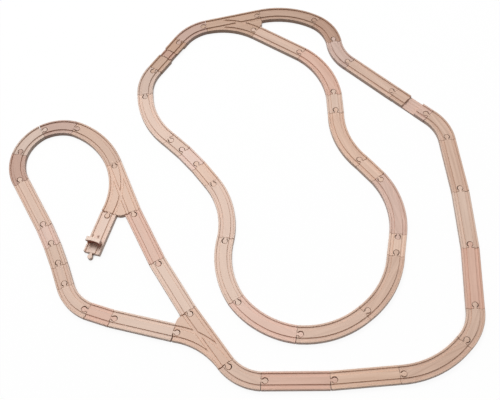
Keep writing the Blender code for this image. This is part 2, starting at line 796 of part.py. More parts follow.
def build():
    """Lay out and make every piece, then centre the layout on the origin."""
    values = close_layout()
    stretch = values[0]
    socket = socket_sizes([*values[1:], math.radians(SPUR_KINK)])
    placed = lay_layout(values)[0]
    by_name = {piece.name: piece for piece in placed}
    shape_of = catalogue(socket)
    layout = add_empty("layout", ORIGIN)
    link_slide = add_empty("link_slide", by_name["link_expander"].pose, layout)
    pear_slide = add_empty("pear_slide", by_name["pear_expander"].pose, layout)
    pear_elbow = add_empty("pear_elbow", peg_pivot(by_name["pear_small_curve_2"]), pear_slide)
    pear_far_elbow = add_empty("pear_far_elbow", peg_pivot(by_name["pear_large_curve_4"]), pear_elbow)
    frames = {frame.name: frame for frame in (layout, link_slide, pear_slide, pear_elbow, pear_far_elbow)}
    frame = layout
    for piece in placed:
        frame = frames.get(FRAME_STARTS.get(piece.name), frame)
        pose = piece.pose
        if piece.kind.endswith("expander"):
            sizes = LINK_EXPANDER if piece.kind == "link_expander" else PEAR_EXPANDER
            moving = link_slide if piece.kind == "link_expander" else pear_slide
            opening = sizes.opening + (stretch if piece.kind == "pear_expander" else 0.0)
            add_node(f"{piece.name}_sleeve", expander_sleeve(sizes, piece.ends[0], socket), pose, layout)
            add_node(f"{piece.name}_pin", expander_pin(sizes), pose, layout)
            tongue = expander_tongue(sizes, opening, piece.ends[1], socket)
            add_node(f"{piece.name}_tongue", tongue, pose, moving)
            if piece.kind == "pear_expander":
                add_node(f"{piece.name}_filler", expander_filler(sizes, opening), pose, moving)
        else:
            add_node(piece.name, shape_of(piece.kind, piece.turn, piece.ends), pose, frame)
    spur = by_name["spur_track"].pose
    add_node("stop_post", stop_post(), spur, link_slide)
    add_node("stop_beam", stop_beam(), spur, link_slide)
    add_node("buffer_left", buffer(LEFT), spur, link_slide)
    add_node("buffer_right", buffer(RIGHT), spur, link_slide)

    bpy.context.view_layer.update()
    corners = []
    for node in parts_collection.objects:
        if node.type == "MESH":
            corners += [node.matrix_world @ vert.co for vert in node.data.vertices]
    middle = [(min(c[axis] for c in corners) + max(c[axis] for c in corners)) / 2 for axis in range(2)]
    layout.location = (-middle[0], -middle[1], 0.0)
    bpy.context.view_layer.update()


clear_scene()
parts_collection = new_collection("toy_railway")
cutters_collection = new_collection("toy_railway_cutters")
build()
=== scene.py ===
"""Finished boards of a wooden toy railway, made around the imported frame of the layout.

Every board is a grooved beech section carried along a straight or an arc, with round pegs joined to
it and keyhole sockets cut into it. The layout is laid again from its rows of pieces, so each finished
board lies where its node of the frame lies, and the figure of the wood follows each board's own grain.
"""

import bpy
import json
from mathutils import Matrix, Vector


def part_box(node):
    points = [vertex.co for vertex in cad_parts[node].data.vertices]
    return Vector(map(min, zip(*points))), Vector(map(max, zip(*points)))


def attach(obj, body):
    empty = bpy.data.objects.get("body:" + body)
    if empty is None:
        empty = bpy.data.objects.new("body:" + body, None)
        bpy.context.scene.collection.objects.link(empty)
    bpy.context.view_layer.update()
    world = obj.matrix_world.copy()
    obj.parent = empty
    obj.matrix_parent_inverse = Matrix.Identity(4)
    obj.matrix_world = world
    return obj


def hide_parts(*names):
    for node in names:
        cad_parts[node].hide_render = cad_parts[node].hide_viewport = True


bl_info = {
    "name": "Wooden toy railway",
    "version": (1, 0, 0),
    "blender": (4, 5, 0),
    "location": "3D View > Sidebar > Railway",
    "description": "Makes the finished boards of a wooden toy railway around its packed frame",
    "category": "Object",
}

import json
import math
from collections import namedtuple

import bmesh
import bpy
import numpy as np
from bpy.props import FloatProperty, FloatVectorProperty, PointerProperty
from mathutils import Matrix

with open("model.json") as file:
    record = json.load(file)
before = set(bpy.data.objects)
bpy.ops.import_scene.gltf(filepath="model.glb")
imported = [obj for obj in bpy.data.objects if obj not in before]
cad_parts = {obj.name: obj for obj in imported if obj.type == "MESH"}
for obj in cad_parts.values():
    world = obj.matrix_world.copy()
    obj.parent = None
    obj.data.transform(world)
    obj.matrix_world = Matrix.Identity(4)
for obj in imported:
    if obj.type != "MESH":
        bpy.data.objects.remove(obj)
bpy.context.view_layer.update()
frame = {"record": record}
BODY_OF = {node: body for body, nodes in frame["record"]["behaviour"]["bodies"].items() for node in nodes}
SLOT_OF = {part["node"]: part["material_slot"] for part in frame["record"]["subparts"]}
BOARD_LOW, BOARD_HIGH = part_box("pear_straight_1")

AHEAD = 0
LEFT = 1
RIGHT = -1
PEG = "peg"
SOCKET = "socket"
THROUGH = (SOCKET, PEG)
AGAINST = (PEG, SOCKET)
CURVE_ANGLE = math.radians(45)

# Points on a quarter round, on a groove wall, round a peg, across the stop and along a switch's crotch
ROUND_POINTS = 5
WALL_POINTS = 7
HEAD_POINTS = 40
STOP_POINTS = 40
CROTCH_POINTS = 60
# Spacing of the points on a switch's deck, the rows of it that make way for the rounding at each end, and
# the spacing of the sections along a curve
DECK_SPACING = 0.0006
END_ROWS = 2
CURVE_STEP = math.radians(2.0)
# Decimals of a metre at which places along a board and along a switch are told apart
BOARD_DECIMALS = 8
SWITCH_DECIMALS = 7
# Points closer than this are merged
MERGE_DISTANCE = 1e-7
# How far a cutter reaches past what it cuts
CUT_MARGIN = 0.001
# Steepest slope of a switch's edge that its rounding follows
STEEPEST = 3.0
# Share of a kinked seam's wedge that is closed, and how far into a board its end is moved
CLOSING_SHARE = 0.6
CLOSING_REACH = 0.030
# How far a finished piece's box may be from its node's
BOX_TOLERANCE = 0.0035
SHARP_ANGLE = math.radians(38)


# Settings

def size(name, default, description):
    """A length that a user may change."""
    return FloatProperty(name=name, description=description, default=default, unit="LENGTH", precision=4)


def share(name, default, description):
    """A share of something, from none to all of it."""
    return FloatProperty(
        name=name, description=description, default=default, min=0.0, max=1.0, subtype="FACTOR",
    )


def colour(name, default, description):
    """A colour, as linear light."""
    return FloatVectorProperty(
        name=name, description=description, default=default, size=3, min=0.0, max=1.0, subtype="COLOR",
    )


def angle(name, degrees, description):
    """An angle, given in degrees."""
    return FloatProperty(name=name, description=description, default=math.radians(degrees), subtype="ANGLE")


def brightness(name, default, description, subtype="NONE"):
    """The strength of a light."""
    return FloatProperty(name=name, description=description, default=default, subtype=subtype)


class RailwayBoards(bpy.types.PropertyGroup):
    """Section and edges of the grooved boards."""

    width: size("Width", 0.040, "Width of a board")
    thickness: size("Thickness", BOARD_HIGH.z - BOARD_LOW.z, "Thickness of a board, from the frame")
    edge_round: size("Edge rounding", 0.0010, "Rounding of the deck's long edges")
    foot_round: size("Foot rounding", 0.0005, "Rounding of the underside's edges")
    end_round: size("End rounding", 0.0004, "Rounding of the end faces' rims")
    corner_round: size("Corner rounding", 0.0004, "Rounding of the upright corners, in plan")
    groove_width: size("Groove width", 0.0080, "Width of a wheel groove")
    groove_depth: size("Groove depth", 0.0030, "Depth of a wheel groove")
    groove_wall: size("Groove wall", 0.0012, "Width that a groove's wall takes to fall to its floor")
    groove_spacing: size("Groove spacing", 0.0165, "Clear deck between the two grooves")


class RailwayConnectors(bpy.types.PropertyGroup):
    """Pegs, sockets and the seams between boards."""

    peg_radius: size("Peg radius", 0.00575, "Radius of a peg's head")
    peg_reach: size("Peg reach", 0.0095, "From the end face to the middle of the peg's head")
    peg_root: size("Peg root", 0.003, "Length of the neck inside the board")
    peg_shy: size("Peg shyness", 0.0004, "How far a peg stays below the deck and above the floor")
    neck_width: size("Neck width", 0.006, "Width of a peg's neck")
    clearance: size("Clearance", 0.00025, "Least gap between a peg and its socket")
    mouth_round: size("Mouth rounding", 0.0009, "Rounding of a socket's lips")
    rim_round: size("Rim rounding", 0.0005, "Rounding of the rims of pegs and sockets")
    seam_gap: size("Seam gap", 0.0004, "Least gap between two end faces")
    seam_centred: size("Centred seam", 0.0016, "Gap at which a peg stands amid its socket")


class RailwayLengths(bpy.types.PropertyGroup):
    """Lengths and radii of the kinds of board."""

    straight: size("Straight", 0.144, "Length of a straight")
    short: size("Short", 0.0552, "Length of a short straight")
    large_radius: size("Large radius", 0.202, "Centre-line radius of a large curve")
    small_radius: size("Small radius", 0.1065, "Centre-line radius of a small curve")
    switch: size("Switch", 0.148, "Length of a switch's straight leg")
    switch_radius: size("Switch radius", 0.179, "Centre-line radius of a switch's branch")
    crotch_bulge: size("Crotch bulge", 0.0025, "How far the edge between a switch's legs bulges")
    spur: size("Spur", 0.108, "Length of the spur")


class RailwayExpander(bpy.types.PropertyGroup):
    """Sizes that the two telescoping pieces share, and each one's own."""

    link_sleeve: size("Link sleeve", 0.038, "Length of the link line's sleeve block")
    link_opening: size("Link opening", 0.0375, "Bare tongue of the link line's piece")
    link_block: size("Link block", 0.0305, "Length of the link line's tongue block")
    link_inset: size("Link tongue inset", 0.0005, "How much narrower the tongue is, each side")
    pear_sleeve: size("Pear sleeve", 0.0425, "Length of the pear loop's sleeve block")
    pear_opening: size("Pear opening", 0.025, "Gap that the pear loop's filler block lies in")
    pear_block: size("Pear block", 0.044, "Length of the pear loop's tongue block")
    pear_inset: size("Pear tongue inset", 0.003, "How much narrower the tongue is, each side")
    overlap: size("Overlap", 0.026, "Length of tongue under the sleeve")
    shelf: size("Shelf height", 0.006, "Height of the face that the sleeve slides on")
    slide_clearance: size("Slide clearance", 0.0003, "Gap between sleeve and tongue")
    closing: size("Closing travel", 0.004, "How far a telescoping piece closes")
    opening_travel: size("Opening travel", 0.010, "How far a telescoping piece opens")
    pin_radius: size("Pin radius", 0.003, "Radius of the guide pin")
    pin_setback: size("Pin setback", 0.010, "Distance of the pin from the sleeve's inner end")
    pin_depth: size("Pin depth", 0.0035, "How deep the pin is glued into the sleeve")
    pin_foot: size("Pin foot", 0.0006, "Height of the pin's lower end")
    slot_play: size("Slot play", 0.0004, "Gap between the pin and its slot")
    filler_width: share("Filler width", 0.87, "Width of the loose block beside the boards' width")
    filler_gap: size("Filler gap", 0.0018, "Gap at each end of the filler block")
    tongue_round: size("Tongue rounding", 0.0006, "Rounding of the tongue's upper edges")


class RailwayStop(bpy.types.PropertyGroup):
    """The stop at the end of the spur."""

    setback: size("Setback", 0.0185, "Deck left behind the stop")
    depth: size("Depth", 0.012, "Depth of post and beam along the track")
    post_width: size("Post width", 0.030, "Width of the post")
    post_height: size("Post height", 0.0135, "Height of the post")
    post_hollow: size("Post hollow", 0.0065, "How deep the post's back is hollowed")
    post_round: size("Post rounding", 0.0008, "Rounding of the post's upright corners")
    post_rim: size("Post rim", 0.0003, "Rounding of the post's upper and lower rims")
    beam_width: size("Beam width", 0.036, "Width of the beam")
    beam_height: size("Beam height", 0.0065, "Height of the beam")
    beam_hollow: size("Beam hollow", 0.0025, "How far the beam's back edge is drawn in")
    beam_round: size("Beam rounding", 0.0012, "Rounding of the beam's edges")
    glue_gap: size("Glue gap", 0.0003, "Gap between glued pieces")
    buffer_spacing: size("Buffer spacing", 0.014, "Distance between the two buffers")
    stem_radius: size("Buffer stem", 0.002, "Radius of a buffer's stem")
    head_radius: size("Buffer head", 0.003, "Radius of a buffer's head")
    buffer_length: size("Buffer length", 0.0085, "Length of a buffer")
    head_length: size("Buffer head length", 0.0035, "Length of a buffer's head")
    head_dome: size("Buffer dome", 0.0009, "Rounding of a buffer's head")


class RailwayWood(bpy.types.PropertyGroup):
    """Beech tones of the record's six slots, and how strongly the wood is figured."""

    beech_1: colour("Beech 1", (0.64, 0.45, 0.35), "Typical board")
    beech_2: colour("Beech 2", (0.61, 0.42, 0.32), "Slightly darker board")
    beech_3: colour("Beech 3", (0.68, 0.5, 0.4), "Slightly lighter board")
    beech_4: colour("Beech 4", (0.65, 0.45, 0.37), "Slightly pinker board")
    beech_tan: colour("Tan beech", (0.48, 0.31, 0.23), "The darker curve of the link line")
    beech_pink: colour("Pink beech", (0.52, 0.34, 0.27), "The darker curve of the drop loop")
    streaks: share("Streaks", 0.18, "Strength of the broad streaks along the grain")
    fibres: share("Fibres", 0.10, "Strength of the fine lines along the grain")
    flecks: share("Flecks", 0.22, "Strength of the short dark flecks")
    # A red-brown colour, made darker to match the hollow under the beam, so partly painted shade
    stain: colour("Stain", (0.34, 0.105, 0.06), "Red-brown stain on the back of the stop")
    roughness: share("Roughness", 0.42, "Mean roughness of the clear satin finish")


class RailwayStage(bpy.types.PropertyGroup):
    """Floor, light and camera."""

    floor_colour: colour("Floor", (0.35, 0.35, 0.35), "Colour of the light that the floor throws back")
    floor_seen: colour("Floor as seen", (1.0, 1.0, 1.0), "Colour of the floor's shaded parts to the camera")
    floor_lift: share("Floor lift", 0.92, "Share of the open floor that shows as plain white to the camera")
    sky_low: brightness("Low sky", 0.065, "Strength of the light from the front horizon")
    sky_high: brightness("High sky", 0.66, "Strength of the light from above and behind")
    key_power: brightness("Key light", 238.0, "Strength of the large lamp", "POWER")
    camera_height: size("Camera height", 1.6759, "Height of the camera above the floor")
    camera_back: size("Camera distance", 0.9820, "How far the camera stands in front of the layout's middle")
    camera_aside: size("Camera offset", 0.0333, "How far the camera stands to the right of the middle")
    camera_pitch: angle("Camera pitch", 60.748, "Angle of the view below the horizon")
    camera_roll: angle("Camera roll", 8.131, "Turn of the camera about its own view")
    camera_lens: FloatProperty(
        name="Camera lens", description="Focal length in millimetres", default=57.94,
        subtype="DISTANCE_CAMERA",
    )


class RailwaySettings(bpy.types.PropertyGroup):
    """Everything that the operators read."""

    boards: PointerProperty(type=RailwayBoards)
    connectors: PointerProperty(type=RailwayConnectors)
    lengths: PointerProperty(type=RailwayLengths)
    expander: PointerProperty(type=RailwayExpander)
    stop: PointerProperty(type=RailwayStop)
    wood: PointerProperty(type=RailwayWood)
    stage: PointerProperty(type=RailwayStage)


def settings():
    """The scene's sizes and colours."""
    return bpy.context.scene.railway


# Layout

# A run is a row of pieces in the order they are laid. A row gives a piece's kind, its turn, and the kink in
# degrees, anticlockwise positive, between it and the one before it, and its ends where they aren't the
# run's usual ones. The closing kink is the one after the last piece.
Run = namedtuple("Run", "name usual_ends closing_kink rows")
Row = namedtuple("Row", "kind turn kink ends", defaults=(None,))
Pose = namedtuple("Pose", "x y heading")
# A laid piece; its kinks are those of its near and its far seam, where its ends are moved to close them
Piece = namedtuple("Piece", "name kind turn ends pose kinks", defaults=((),))
PEAR = Run("pear", THROUGH, 0.5, (
    Row("small_curve", LEFT, 0.5),
    Row("pear_expander", AHEAD, -1.0),
    Row("small_curve", LEFT, -3.0),
    Row("large_curve", LEFT, -3.5),
    Row("short", AHEAD, -3.5, (SOCKET, SOCKET)),
    Row("short", AHEAD, -4.5, (PEG, SOCKET)),
    Row("short", AHEAD, -4.0, (PEG, PEG)),
    Row("large_curve", RIGHT, 0.0),
    Row("large_curve", LEFT, -4.0),
    Row("large_curve", LEFT, 3.5),
    Row("large_curve", LEFT, 3.5),
    Row("large_curve", LEFT, -2.0),
    Row("short", AHEAD, -2.5, (SOCKET, SOCKET)),
    Row("large_curve", LEFT, 0.0, (PEG, SOCKET)),
    Row("short", AHEAD, 3.5, (PEG, PEG)),
    Row("large_curve", RIGHT, 4.5),
    Row("short", AHEAD, 4.0),
    Row("large_curve", LEFT, 4.5),
    Row("straight", AHEAD, 4.0),
))
LINK = Run("link", AGAINST, -5.0, (
    Row("large_curve", RIGHT, -0.5),
    Row("small_curve", RIGHT, -2.5),
    Row("small_curve", LEFT, -3.5),
    Row("straight", AHEAD, -3.5),
    Row("link_expander", AHEAD, 0.5),
    Row("small_curve", RIGHT, 2.5),
    Row("straight", AHEAD, 1.0),
    Row("straight", AHEAD, -4.0),
    Row("straight", AHEAD, -4.5),
    Row("small_curve", RIGHT, 2.0),
    Row("large_curve", RIGHT, 3.5),
    Row("straight", AHEAD, 1.5),
    Row("straight", AHEAD, -4.5),
    Row("small_curve", RIGHT, -4.0),
))
DROP = Run("drop", THROUGH, 0.5, (
    Row("straight", AHEAD, -5.0, (PEG, SOCKET)),
    Row("short", AHEAD, -4.5, (PEG, PEG)),
    Row("small_curve", RIGHT, -4.5),
    Row("short", AHEAD, -0.5),
    Row("short", AHEAD, 2.5),
    Row("short", AHEAD, 3.5),
    Row("straight", AHEAD, 3.5),
    Row("small_curve", RIGHT, 3.5),
    Row("small_curve", RIGHT, -1.5),
    Row("small_curve", RIGHT, -4.5),
    Row("large_curve", RIGHT, -4.5),
))
CROSS = Run("cross", AGAINST, -4.0, (
    Row("straight", AHEAD, -3.5),
    Row("straight", AHEAD, -5.0),
))
SPUR_KINK = 5.0
START_HEADING = math.radians(4.2)
# How readily the layout closes by a kink, and by the length of the pear loop's telescoping piece
KINK_EASE = math.radians(0.25)
STRETCH_EASE = 0.001
CLOSING_ROUNDS = 12
# Change that a slope is measured over, and what keeps a seam's gap smooth where the kink is nothing
SLOPE_STEP = 1e-6
KINK_SMOOTHING = 1e-8


def advance(pose, length):
    """The pose reached by going straight on."""
    along = length * math.cos(pose.heading)
    aside = length * math.sin(pose.heading)
    return Pose(pose.x + along, pose.y + aside, pose.heading)


def swing(pose, radius, turn):
    """The pose reached along an arc of the curve angle."""
    heading = pose.heading + turn * CURVE_ANGLE
    return Pose(
        pose.x + turn * radius * (math.sin(heading) - math.sin(pose.heading)),
        pose.y - turn * radius * (math.cos(heading) - math.cos(pose.heading)),
        heading,
    )


def reverse(pose):
    """The same place, facing the other way."""
    return pose._replace(heading=pose.heading + math.pi)


def seam_gap(kink):
    """Gap at the middle of a seam; it grows with the kink, so that the end faces' corners stay apart."""
    half = settings().boards.width / 2
    return settings().connectors.seam_gap + half * math.tan(math.sqrt(kink * kink + KINK_SMOOTHING))


def cross_seam(pose, kink):
    """The pose of the next piece: half of the gap, the kink, and the other half."""
    half = seam_gap(kink) / 2
    middle = advance(pose, half)
    return advance(middle._replace(heading=pose.heading + kink), half)


def expander_sizes(kind):
    """Sleeve, opening, block and tongue inset of one of the two telescoping pieces."""
    sizes = settings().expander
    if kind == "link_expander":
        return sizes.link_sleeve, sizes.link_opening, sizes.link_block, sizes.link_inset
    return sizes.pear_sleeve, sizes.pear_opening, sizes.pear_block, sizes.pear_inset


def far_end(pose, kind, turn, stretch=0.0):
    """Pose at the far end of a piece; stretch lengthens the pear loop's telescoping piece."""
    lengths = settings().lengths
    if turn:
        return swing(pose, lengths.large_radius if kind == "large_curve" else lengths.small_radius, turn)
    if kind.endswith("expander"):
        return advance(pose, sum(expander_sizes(kind)[:3]) + (stretch if kind == "pear_expander" else 0.0))
    return advance(pose, getattr(lengths, kind))


def lay_run(run, kinks, pose, stretch, laid):
    """Lay a run of pieces from a pose, and give the pose where the next piece would start."""
    counts = {}
    for place, row in enumerate(run.rows):
        pose = cross_seam(pose, kinks[place])
        counts[row.kind] = counts.get(row.kind, 0) + 1
        expander = row.kind.endswith("expander")
        name = row.kind if expander else f"{run.name}_{row.kind}_{counts[row.kind]}"
        seams = () if expander else (-kinks[place], kinks[place + 1])
        laid.append(Piece(name, row.kind, row.turn, row.ends or run.usual_ends, pose, seams))
        pose = far_end(pose, row.kind, row.turn, stretch)
    return cross_seam(pose, kinks[-1])


def lay_pieces(values):
    """All pieces for one stretch and set of kinks, and how far both loops are from closing."""
    lengths = settings().lengths
    stretch = values[0]
    kinks = iter(values[1:])
    laid = []

    def lay(run, start):
        return lay_run(run, [next(kinks) for _ in range(len(run.rows) + 1)], start, stretch, laid)

    pear = Pose(0.0, 0.0, START_HEADING)
    laid.append(Piece("switch_pear", "switch", RIGHT, (PEG, SOCKET, SOCKET), pear))
    pear_end = lay(PEAR, reverse(pear))
    drop = lay(LINK, advance(pear, lengths.switch))
    laid.append(Piece("switch_drop", "switch", LEFT, (PEG, SOCKET, SOCKET), drop))
    spur = lay(DROP, swing(drop, lengths.switch_radius, LEFT))
    laid.append(Piece("switch_spur", "switch", RIGHT, (SOCKET, PEG, PEG), spur))
    cross_end = lay(CROSS, advance(drop, lengths.switch))
    spur_start = cross_seam(swing(spur, lengths.switch_radius, RIGHT), math.radians(SPUR_KINK))
    laid.append(Piece("spur_track", "spur", AHEAD, THROUGH, spur_start))

    misfits = []
    pear_goal = reverse(swing(pear, lengths.switch_radius, RIGHT))
    cross_goal = reverse(advance(spur, lengths.switch))
    for end, goal in ((pear_end, pear_goal), (cross_end, cross_goal)):
        turn_error = math.remainder(end.heading - goal.heading, 2 * math.pi)
        misfits += [end.x - goal.x, end.y - goal.y, turn_error * settings().boards.width]
    return laid, np.array(misfits)


def closing_values():
    """Stretch and kinks that close both loops with the least change from the rows (Gauss-Newton)."""
    degrees = []
    for run in (PEAR, LINK, DROP, CROSS):
        degrees += [row.kink for row in run.rows] + [run.closing_kink]
    wanted = np.concatenate(([0.0], np.radians(degrees)))
    ease = np.full(len(wanted), KINK_EASE)
    ease[0] = STRETCH_EASE
    values = wanted.copy()
    for _ in range(CLOSING_ROUNDS):
        misfit = lay_pieces(values)[1]
        nudges = values + SLOPE_STEP * np.eye(len(values))
        slopes = np.stack([(lay_pieces(nudged)[1] - misfit) / SLOPE_STEP for nudged in nudges], axis=1)
        change = np.linalg.lstsq(slopes * ease, misfit - slopes @ (values - wanted), rcond=None)[0]
        values = wanted - ease * change
    return values


Layout = namedtuple("Layout", "pieces stretch")
# The kinks that every socket has to clear, and the closed layout, once they are worked out
laid_out = {}


def shifted(piece, shift):
    """The piece, moved over the floor."""
    pose = piece.pose
    return piece._replace(pose=pose._replace(x=pose.x + shift[0], y=pose.y + shift[1]))


def layout():
    """The closed layout, moved so that its switch of the pear loop lies where the frame has it."""
    if "layout" not in laid_out:
        values = closing_values()
        laid_out["kinks"] = [*values[1:], math.radians(SPUR_KINK)]
        pieces = lay_pieces(values)[0]
        switch = pieces[0]
        trial = switch_mesh(switch.turn, switch.ends)
        outline = placed_points(board_points(trial), switch.pose)
        bpy.data.meshes.remove(trial)
        low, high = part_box(switch.name)
        shift = (np.array(low) + np.array(high) - outline.min(0) - outline.max(0)) / 2
        laid_out["layout"] = Layout({piece.name: shifted(piece, shift) for piece in pieces}, values[0])
    return laid_out["layout"]


def socket_sizes():
    """Depth, radius and half mouth of a socket that clears its peg at every kink of the layout."""
    sizes = settings().connectors
    depth = sizes.peg_reach - sizes.seam_centred
    neck = sizes.neck_width / 2
    kinks = np.array(laid_out["kinks"])
    gaps = np.array([seam_gap(kink) for kink in kinks])
    along = (sizes.peg_reach - gaps / 2) * np.cos(kinks) - (depth + gaps / 2)
    across = (sizes.peg_reach - gaps / 2) * np.sin(kinks)
    radius = float(sizes.peg_radius + np.hypot(along, across).max() + sizes.clearance)
    throat = depth - math.sqrt(radius ** 2 - neck ** 2)
    mouth = neck / np.cos(kinks) + (gaps / 2 + throat) * np.tan(np.abs(kinks)) + sizes.clearance
    return depth, radius, float(mouth.max())


# Surfaces as arrays of points

def grid_quads(rows, columns, closed):
    """Corner numbers of a grid's quads; a closed grid joins its last column to its first."""
    across = columns if closed else columns - 1
    i, j = np.meshgrid(np.arange(rows - 1), np.arange(across), indexing="ij")
    k = (j + 1) % columns
    corners = (i * columns + j, i * columns + k, (i + 1) * columns + k, (i + 1) * columns + j)
    return np.stack(corners, axis=-1).reshape(-1, 4).tolist()


def mesh_of(points, faces):
    """A mesh of the points and faces, with its doubles merged and its faces turned outwards."""
    mesh = bpy.data.meshes.new("board")
    mesh.from_pydata(np.asarray(points, float).reshape(-1, 3).tolist(), [], faces)
    shape = bmesh.new()
    shape.from_mesh(mesh)
    bmesh.ops.remove_doubles(shape, verts=shape.verts, dist=MERGE_DISTANCE)
    bmesh.ops.recalc_face_normals(shape, faces=shape.faces)
    shape.to_mesh(mesh)
    shape.free()
    return mesh


def board_points(mesh):
    """The mesh's points as an array."""
    points = np.empty(len(mesh.vertices) * 3, np.float32)
    mesh.vertices.foreach_get("co", points)
    return points.reshape(-1, 3).astype(float)


def placed_points(points, pose):
    """Points of a piece's own frame, turned by its heading and moved to its place."""
    along = np.array((math.cos(pose.heading), math.sin(pose.heading)))
    placed = points.copy()
    placed[:, 0] = pose.x + points[:, 0] * along[0] - points[:, 1] * along[1]
    placed[:, 1] = pose.y + points[:, 0] * along[1] + points[:, 1] * along[0]
    return placed


def quarter_round(distance, radius):
    """How far a rounded edge falls back at a distance from it: a quarter circle, nothing past the radius."""
    inside = np.clip(radius - distance, 0.0, radius)
    return radius - np.sqrt(radius ** 2 - inside ** 2)


def quarter_falls():
    """How far points at even angles on a unit quarter circle lie inside its first and its second tangent."""
    angles = np.linspace(0.0, math.pi / 2, ROUND_POINTS)
    return 1 - np.cos(angles), 1 - np.sin(angles)


def groove_fall(across):
    """Depth of the grooves at a distance across the deck: a flat floor between S-shaped walls."""
    boards = settings().boards
    centre = (boards.groove_spacing + boards.groove_width) / 2
    inside = boards.groove_width / 2 - np.abs(np.abs(across) - centre)
    fall = np.clip(inside / boards.groove_wall, 0.0, 1.0)
    return boards.groove_depth * fall ** 2 * (3 - 2 * fall)


def board_section(bottom):
    """Closed section (across, height): half a deck with its groove, rounded edge and foot, and its mirror."""
    boards = settings().boards
    half = boards.width / 2
    inner = boards.groove_spacing / 2
    outer = inner + boards.groove_width
    wall = np.linspace(0.0, boards.groove_wall, WALL_POINTS)
    first, second = quarter_falls()
    edge = half - boards.edge_round * second
    deck = np.concatenate(([0.0, inner / 2], inner + wall, outer - wall[::-1], edge))
    height = boards.thickness - groove_fall(deck) - quarter_round(half - deck, boards.edge_round)
    foot = half - boards.foot_round * first
    foot_height = bottom + boards.foot_round * second
    side = np.stack((np.concatenate((deck, foot)), np.concatenate((height, foot_height))), axis=1)
    return np.concatenate((side, side[:0:-1] * (-1.0, 1.0)))


def track_plan(along, across, radius, turn):
    """Plan points at distances along and to the left of a straight, or of an arc about (0, turn * radius)."""
    if turn == AHEAD:
        return along, across
    reach = radius - turn * across
    return reach * np.sin(along / radius), turn * (radius - reach * np.cos(along / radius))


def board_shell(length, radius=None, turn=AHEAD, bottom=0.0):
    """The section carried along the track, drawn in at both ends by quarter rounds in height and in plan."""
    boards = settings().boards
    half = boards.width / 2
    section = board_section(bottom)
    first = quarter_falls()[0]
    starts = np.concatenate((boards.end_round * first, boards.corner_round * first))
    near = np.unique(starts.round(BOARD_DECIMALS))
    steps = 1 if turn == AHEAD else math.ceil(CURVE_ANGLE / CURVE_STEP)
    middle = np.linspace(near[-1], length - near[-1], steps + 1)[1:-1]
    along = np.concatenate((near, middle, length - near[::-1]))[:, None]
    from_end = np.minimum(along, length - along)
    rim = quarter_round(from_end, boards.end_round)
    corner = quarter_round(from_end, boards.corner_round)
    groove_edge = boards.groove_spacing / 2 + boards.groove_width
    rail = np.clip((np.abs(section[:, 0]) - groove_edge) / (half - groove_edge), 0.0, 1.0)
    across = section[:, 0] * (1 - rim / half) - np.sign(section[:, 0]) * corner * rail
    middle_height = (bottom + boards.thickness) / 2
    half_height = (boards.thickness - bottom) / 2
    height = middle_height + (section[:, 1] - middle_height) * (1 - rim / half_height)
    x, y = track_plan(along + 0 * across, across, radius, turn)
    rows, columns = across.shape
    faces = grid_quads(rows, columns, True)
    faces += [list(range(columns)), list(range((rows - 1) * columns, rows * columns))]
    return mesh_of(np.stack((x, y, height), axis=-1), faces)


def inset_outline(outline, insets):
    """A closed outline, anticlockwise, moved inwards by each inset along its mitred normals."""
    before = outline - np.roll(outline, 1, axis=0)
    after = np.roll(outline, -1, axis=0) - outline
    normals = []
    for side in (before, after):
        inward = np.stack((-side[:, 1], side[:, 0]), axis=1)
        normals.append(inward / np.linalg.norm(inward, axis=1, keepdims=True))
    cosine = (normals[0] * normals[1]).sum(axis=1, keepdims=True)
    mitre = (normals[0] + normals[1]) / (1 + cosine)
    return outline + np.asarray(insets)[:, None, None] * mitre


def carried_outline(outline, heights, insets):
    """A closed solid: the outline at each height, moved inwards by that height's inset, and capped.

    A cap is a strip of quads between the outline's first half and its second half taken backwards.
    """
    rings = inset_outline(outline, insets)
    levels = np.broadcast_to(np.asarray(heights)[:, None, None], (*rings.shape[:2], 1))
    rows, columns = rings.shape[:2]
    faces = grid_quads(rows, columns, True)
    half = columns // 2
    for start in (0, (rows - 1) * columns):
        cap = np.arange(start, start + columns)
        there, back = cap[:half], cap[::-1][:half]
        faces += np.stack((there[:-1], there[1:], back[1:], back[:-1]), axis=1).tolist()
        if columns % 2:
            faces.append(cap[half - 1:half + 2].tolist())
    return mesh_of(np.concatenate((rings, levels), axis=-1), faces)


def rounded_levels(low, high, radius):
    """Heights and insets of an upright wall between two quarter rounds."""
    first, second = quarter_falls()
    heights = np.concatenate((low + radius * first, high - radius * first[::-1]))
    insets = np.concatenate((radius * second, radius * second[::-1]))
    return heights, insets


def arc_points(centre, radius, angles):
    """Points of a circle about a place on the X axis, at the given angles."""
    return np.stack((centre + radius * np.cos(angles), radius * np.sin(angles)), axis=1)


def keyhole(half, radius, reach, lead):
    """Outline of a neck from its lead points to a round head, heading +X from the end face."""
    gap = math.asin(half / radius)
    angles = (math.pi - gap) * np.linspace(-1.0, 1.0, HEAD_POINTS)
    return np.concatenate((lead * (1.0, -1.0), arc_points(reach, radius, angles), lead[::-1]))


def to_port(mesh, pose):
    """Move a connector from the origin to a port."""
    mesh.transform(Matrix.Translation((pose.x, pose.y, 0.0)) @ Matrix.Rotation(pose.heading, 4, "Z"))
    return mesh


def peg_shell(pose):
    """A peg with rounded rims, its neck rooted in the board."""
    sizes = settings().connectors
    half = sizes.neck_width / 2
    outline = keyhole(half, sizes.peg_radius, sizes.peg_reach, np.array([(-sizes.peg_root, half)]))
    high = settings().boards.thickness - sizes.peg_shy
    return to_port(carried_outline(outline, *rounded_levels(sizes.peg_shy, high, sizes.rim_round)), pose)


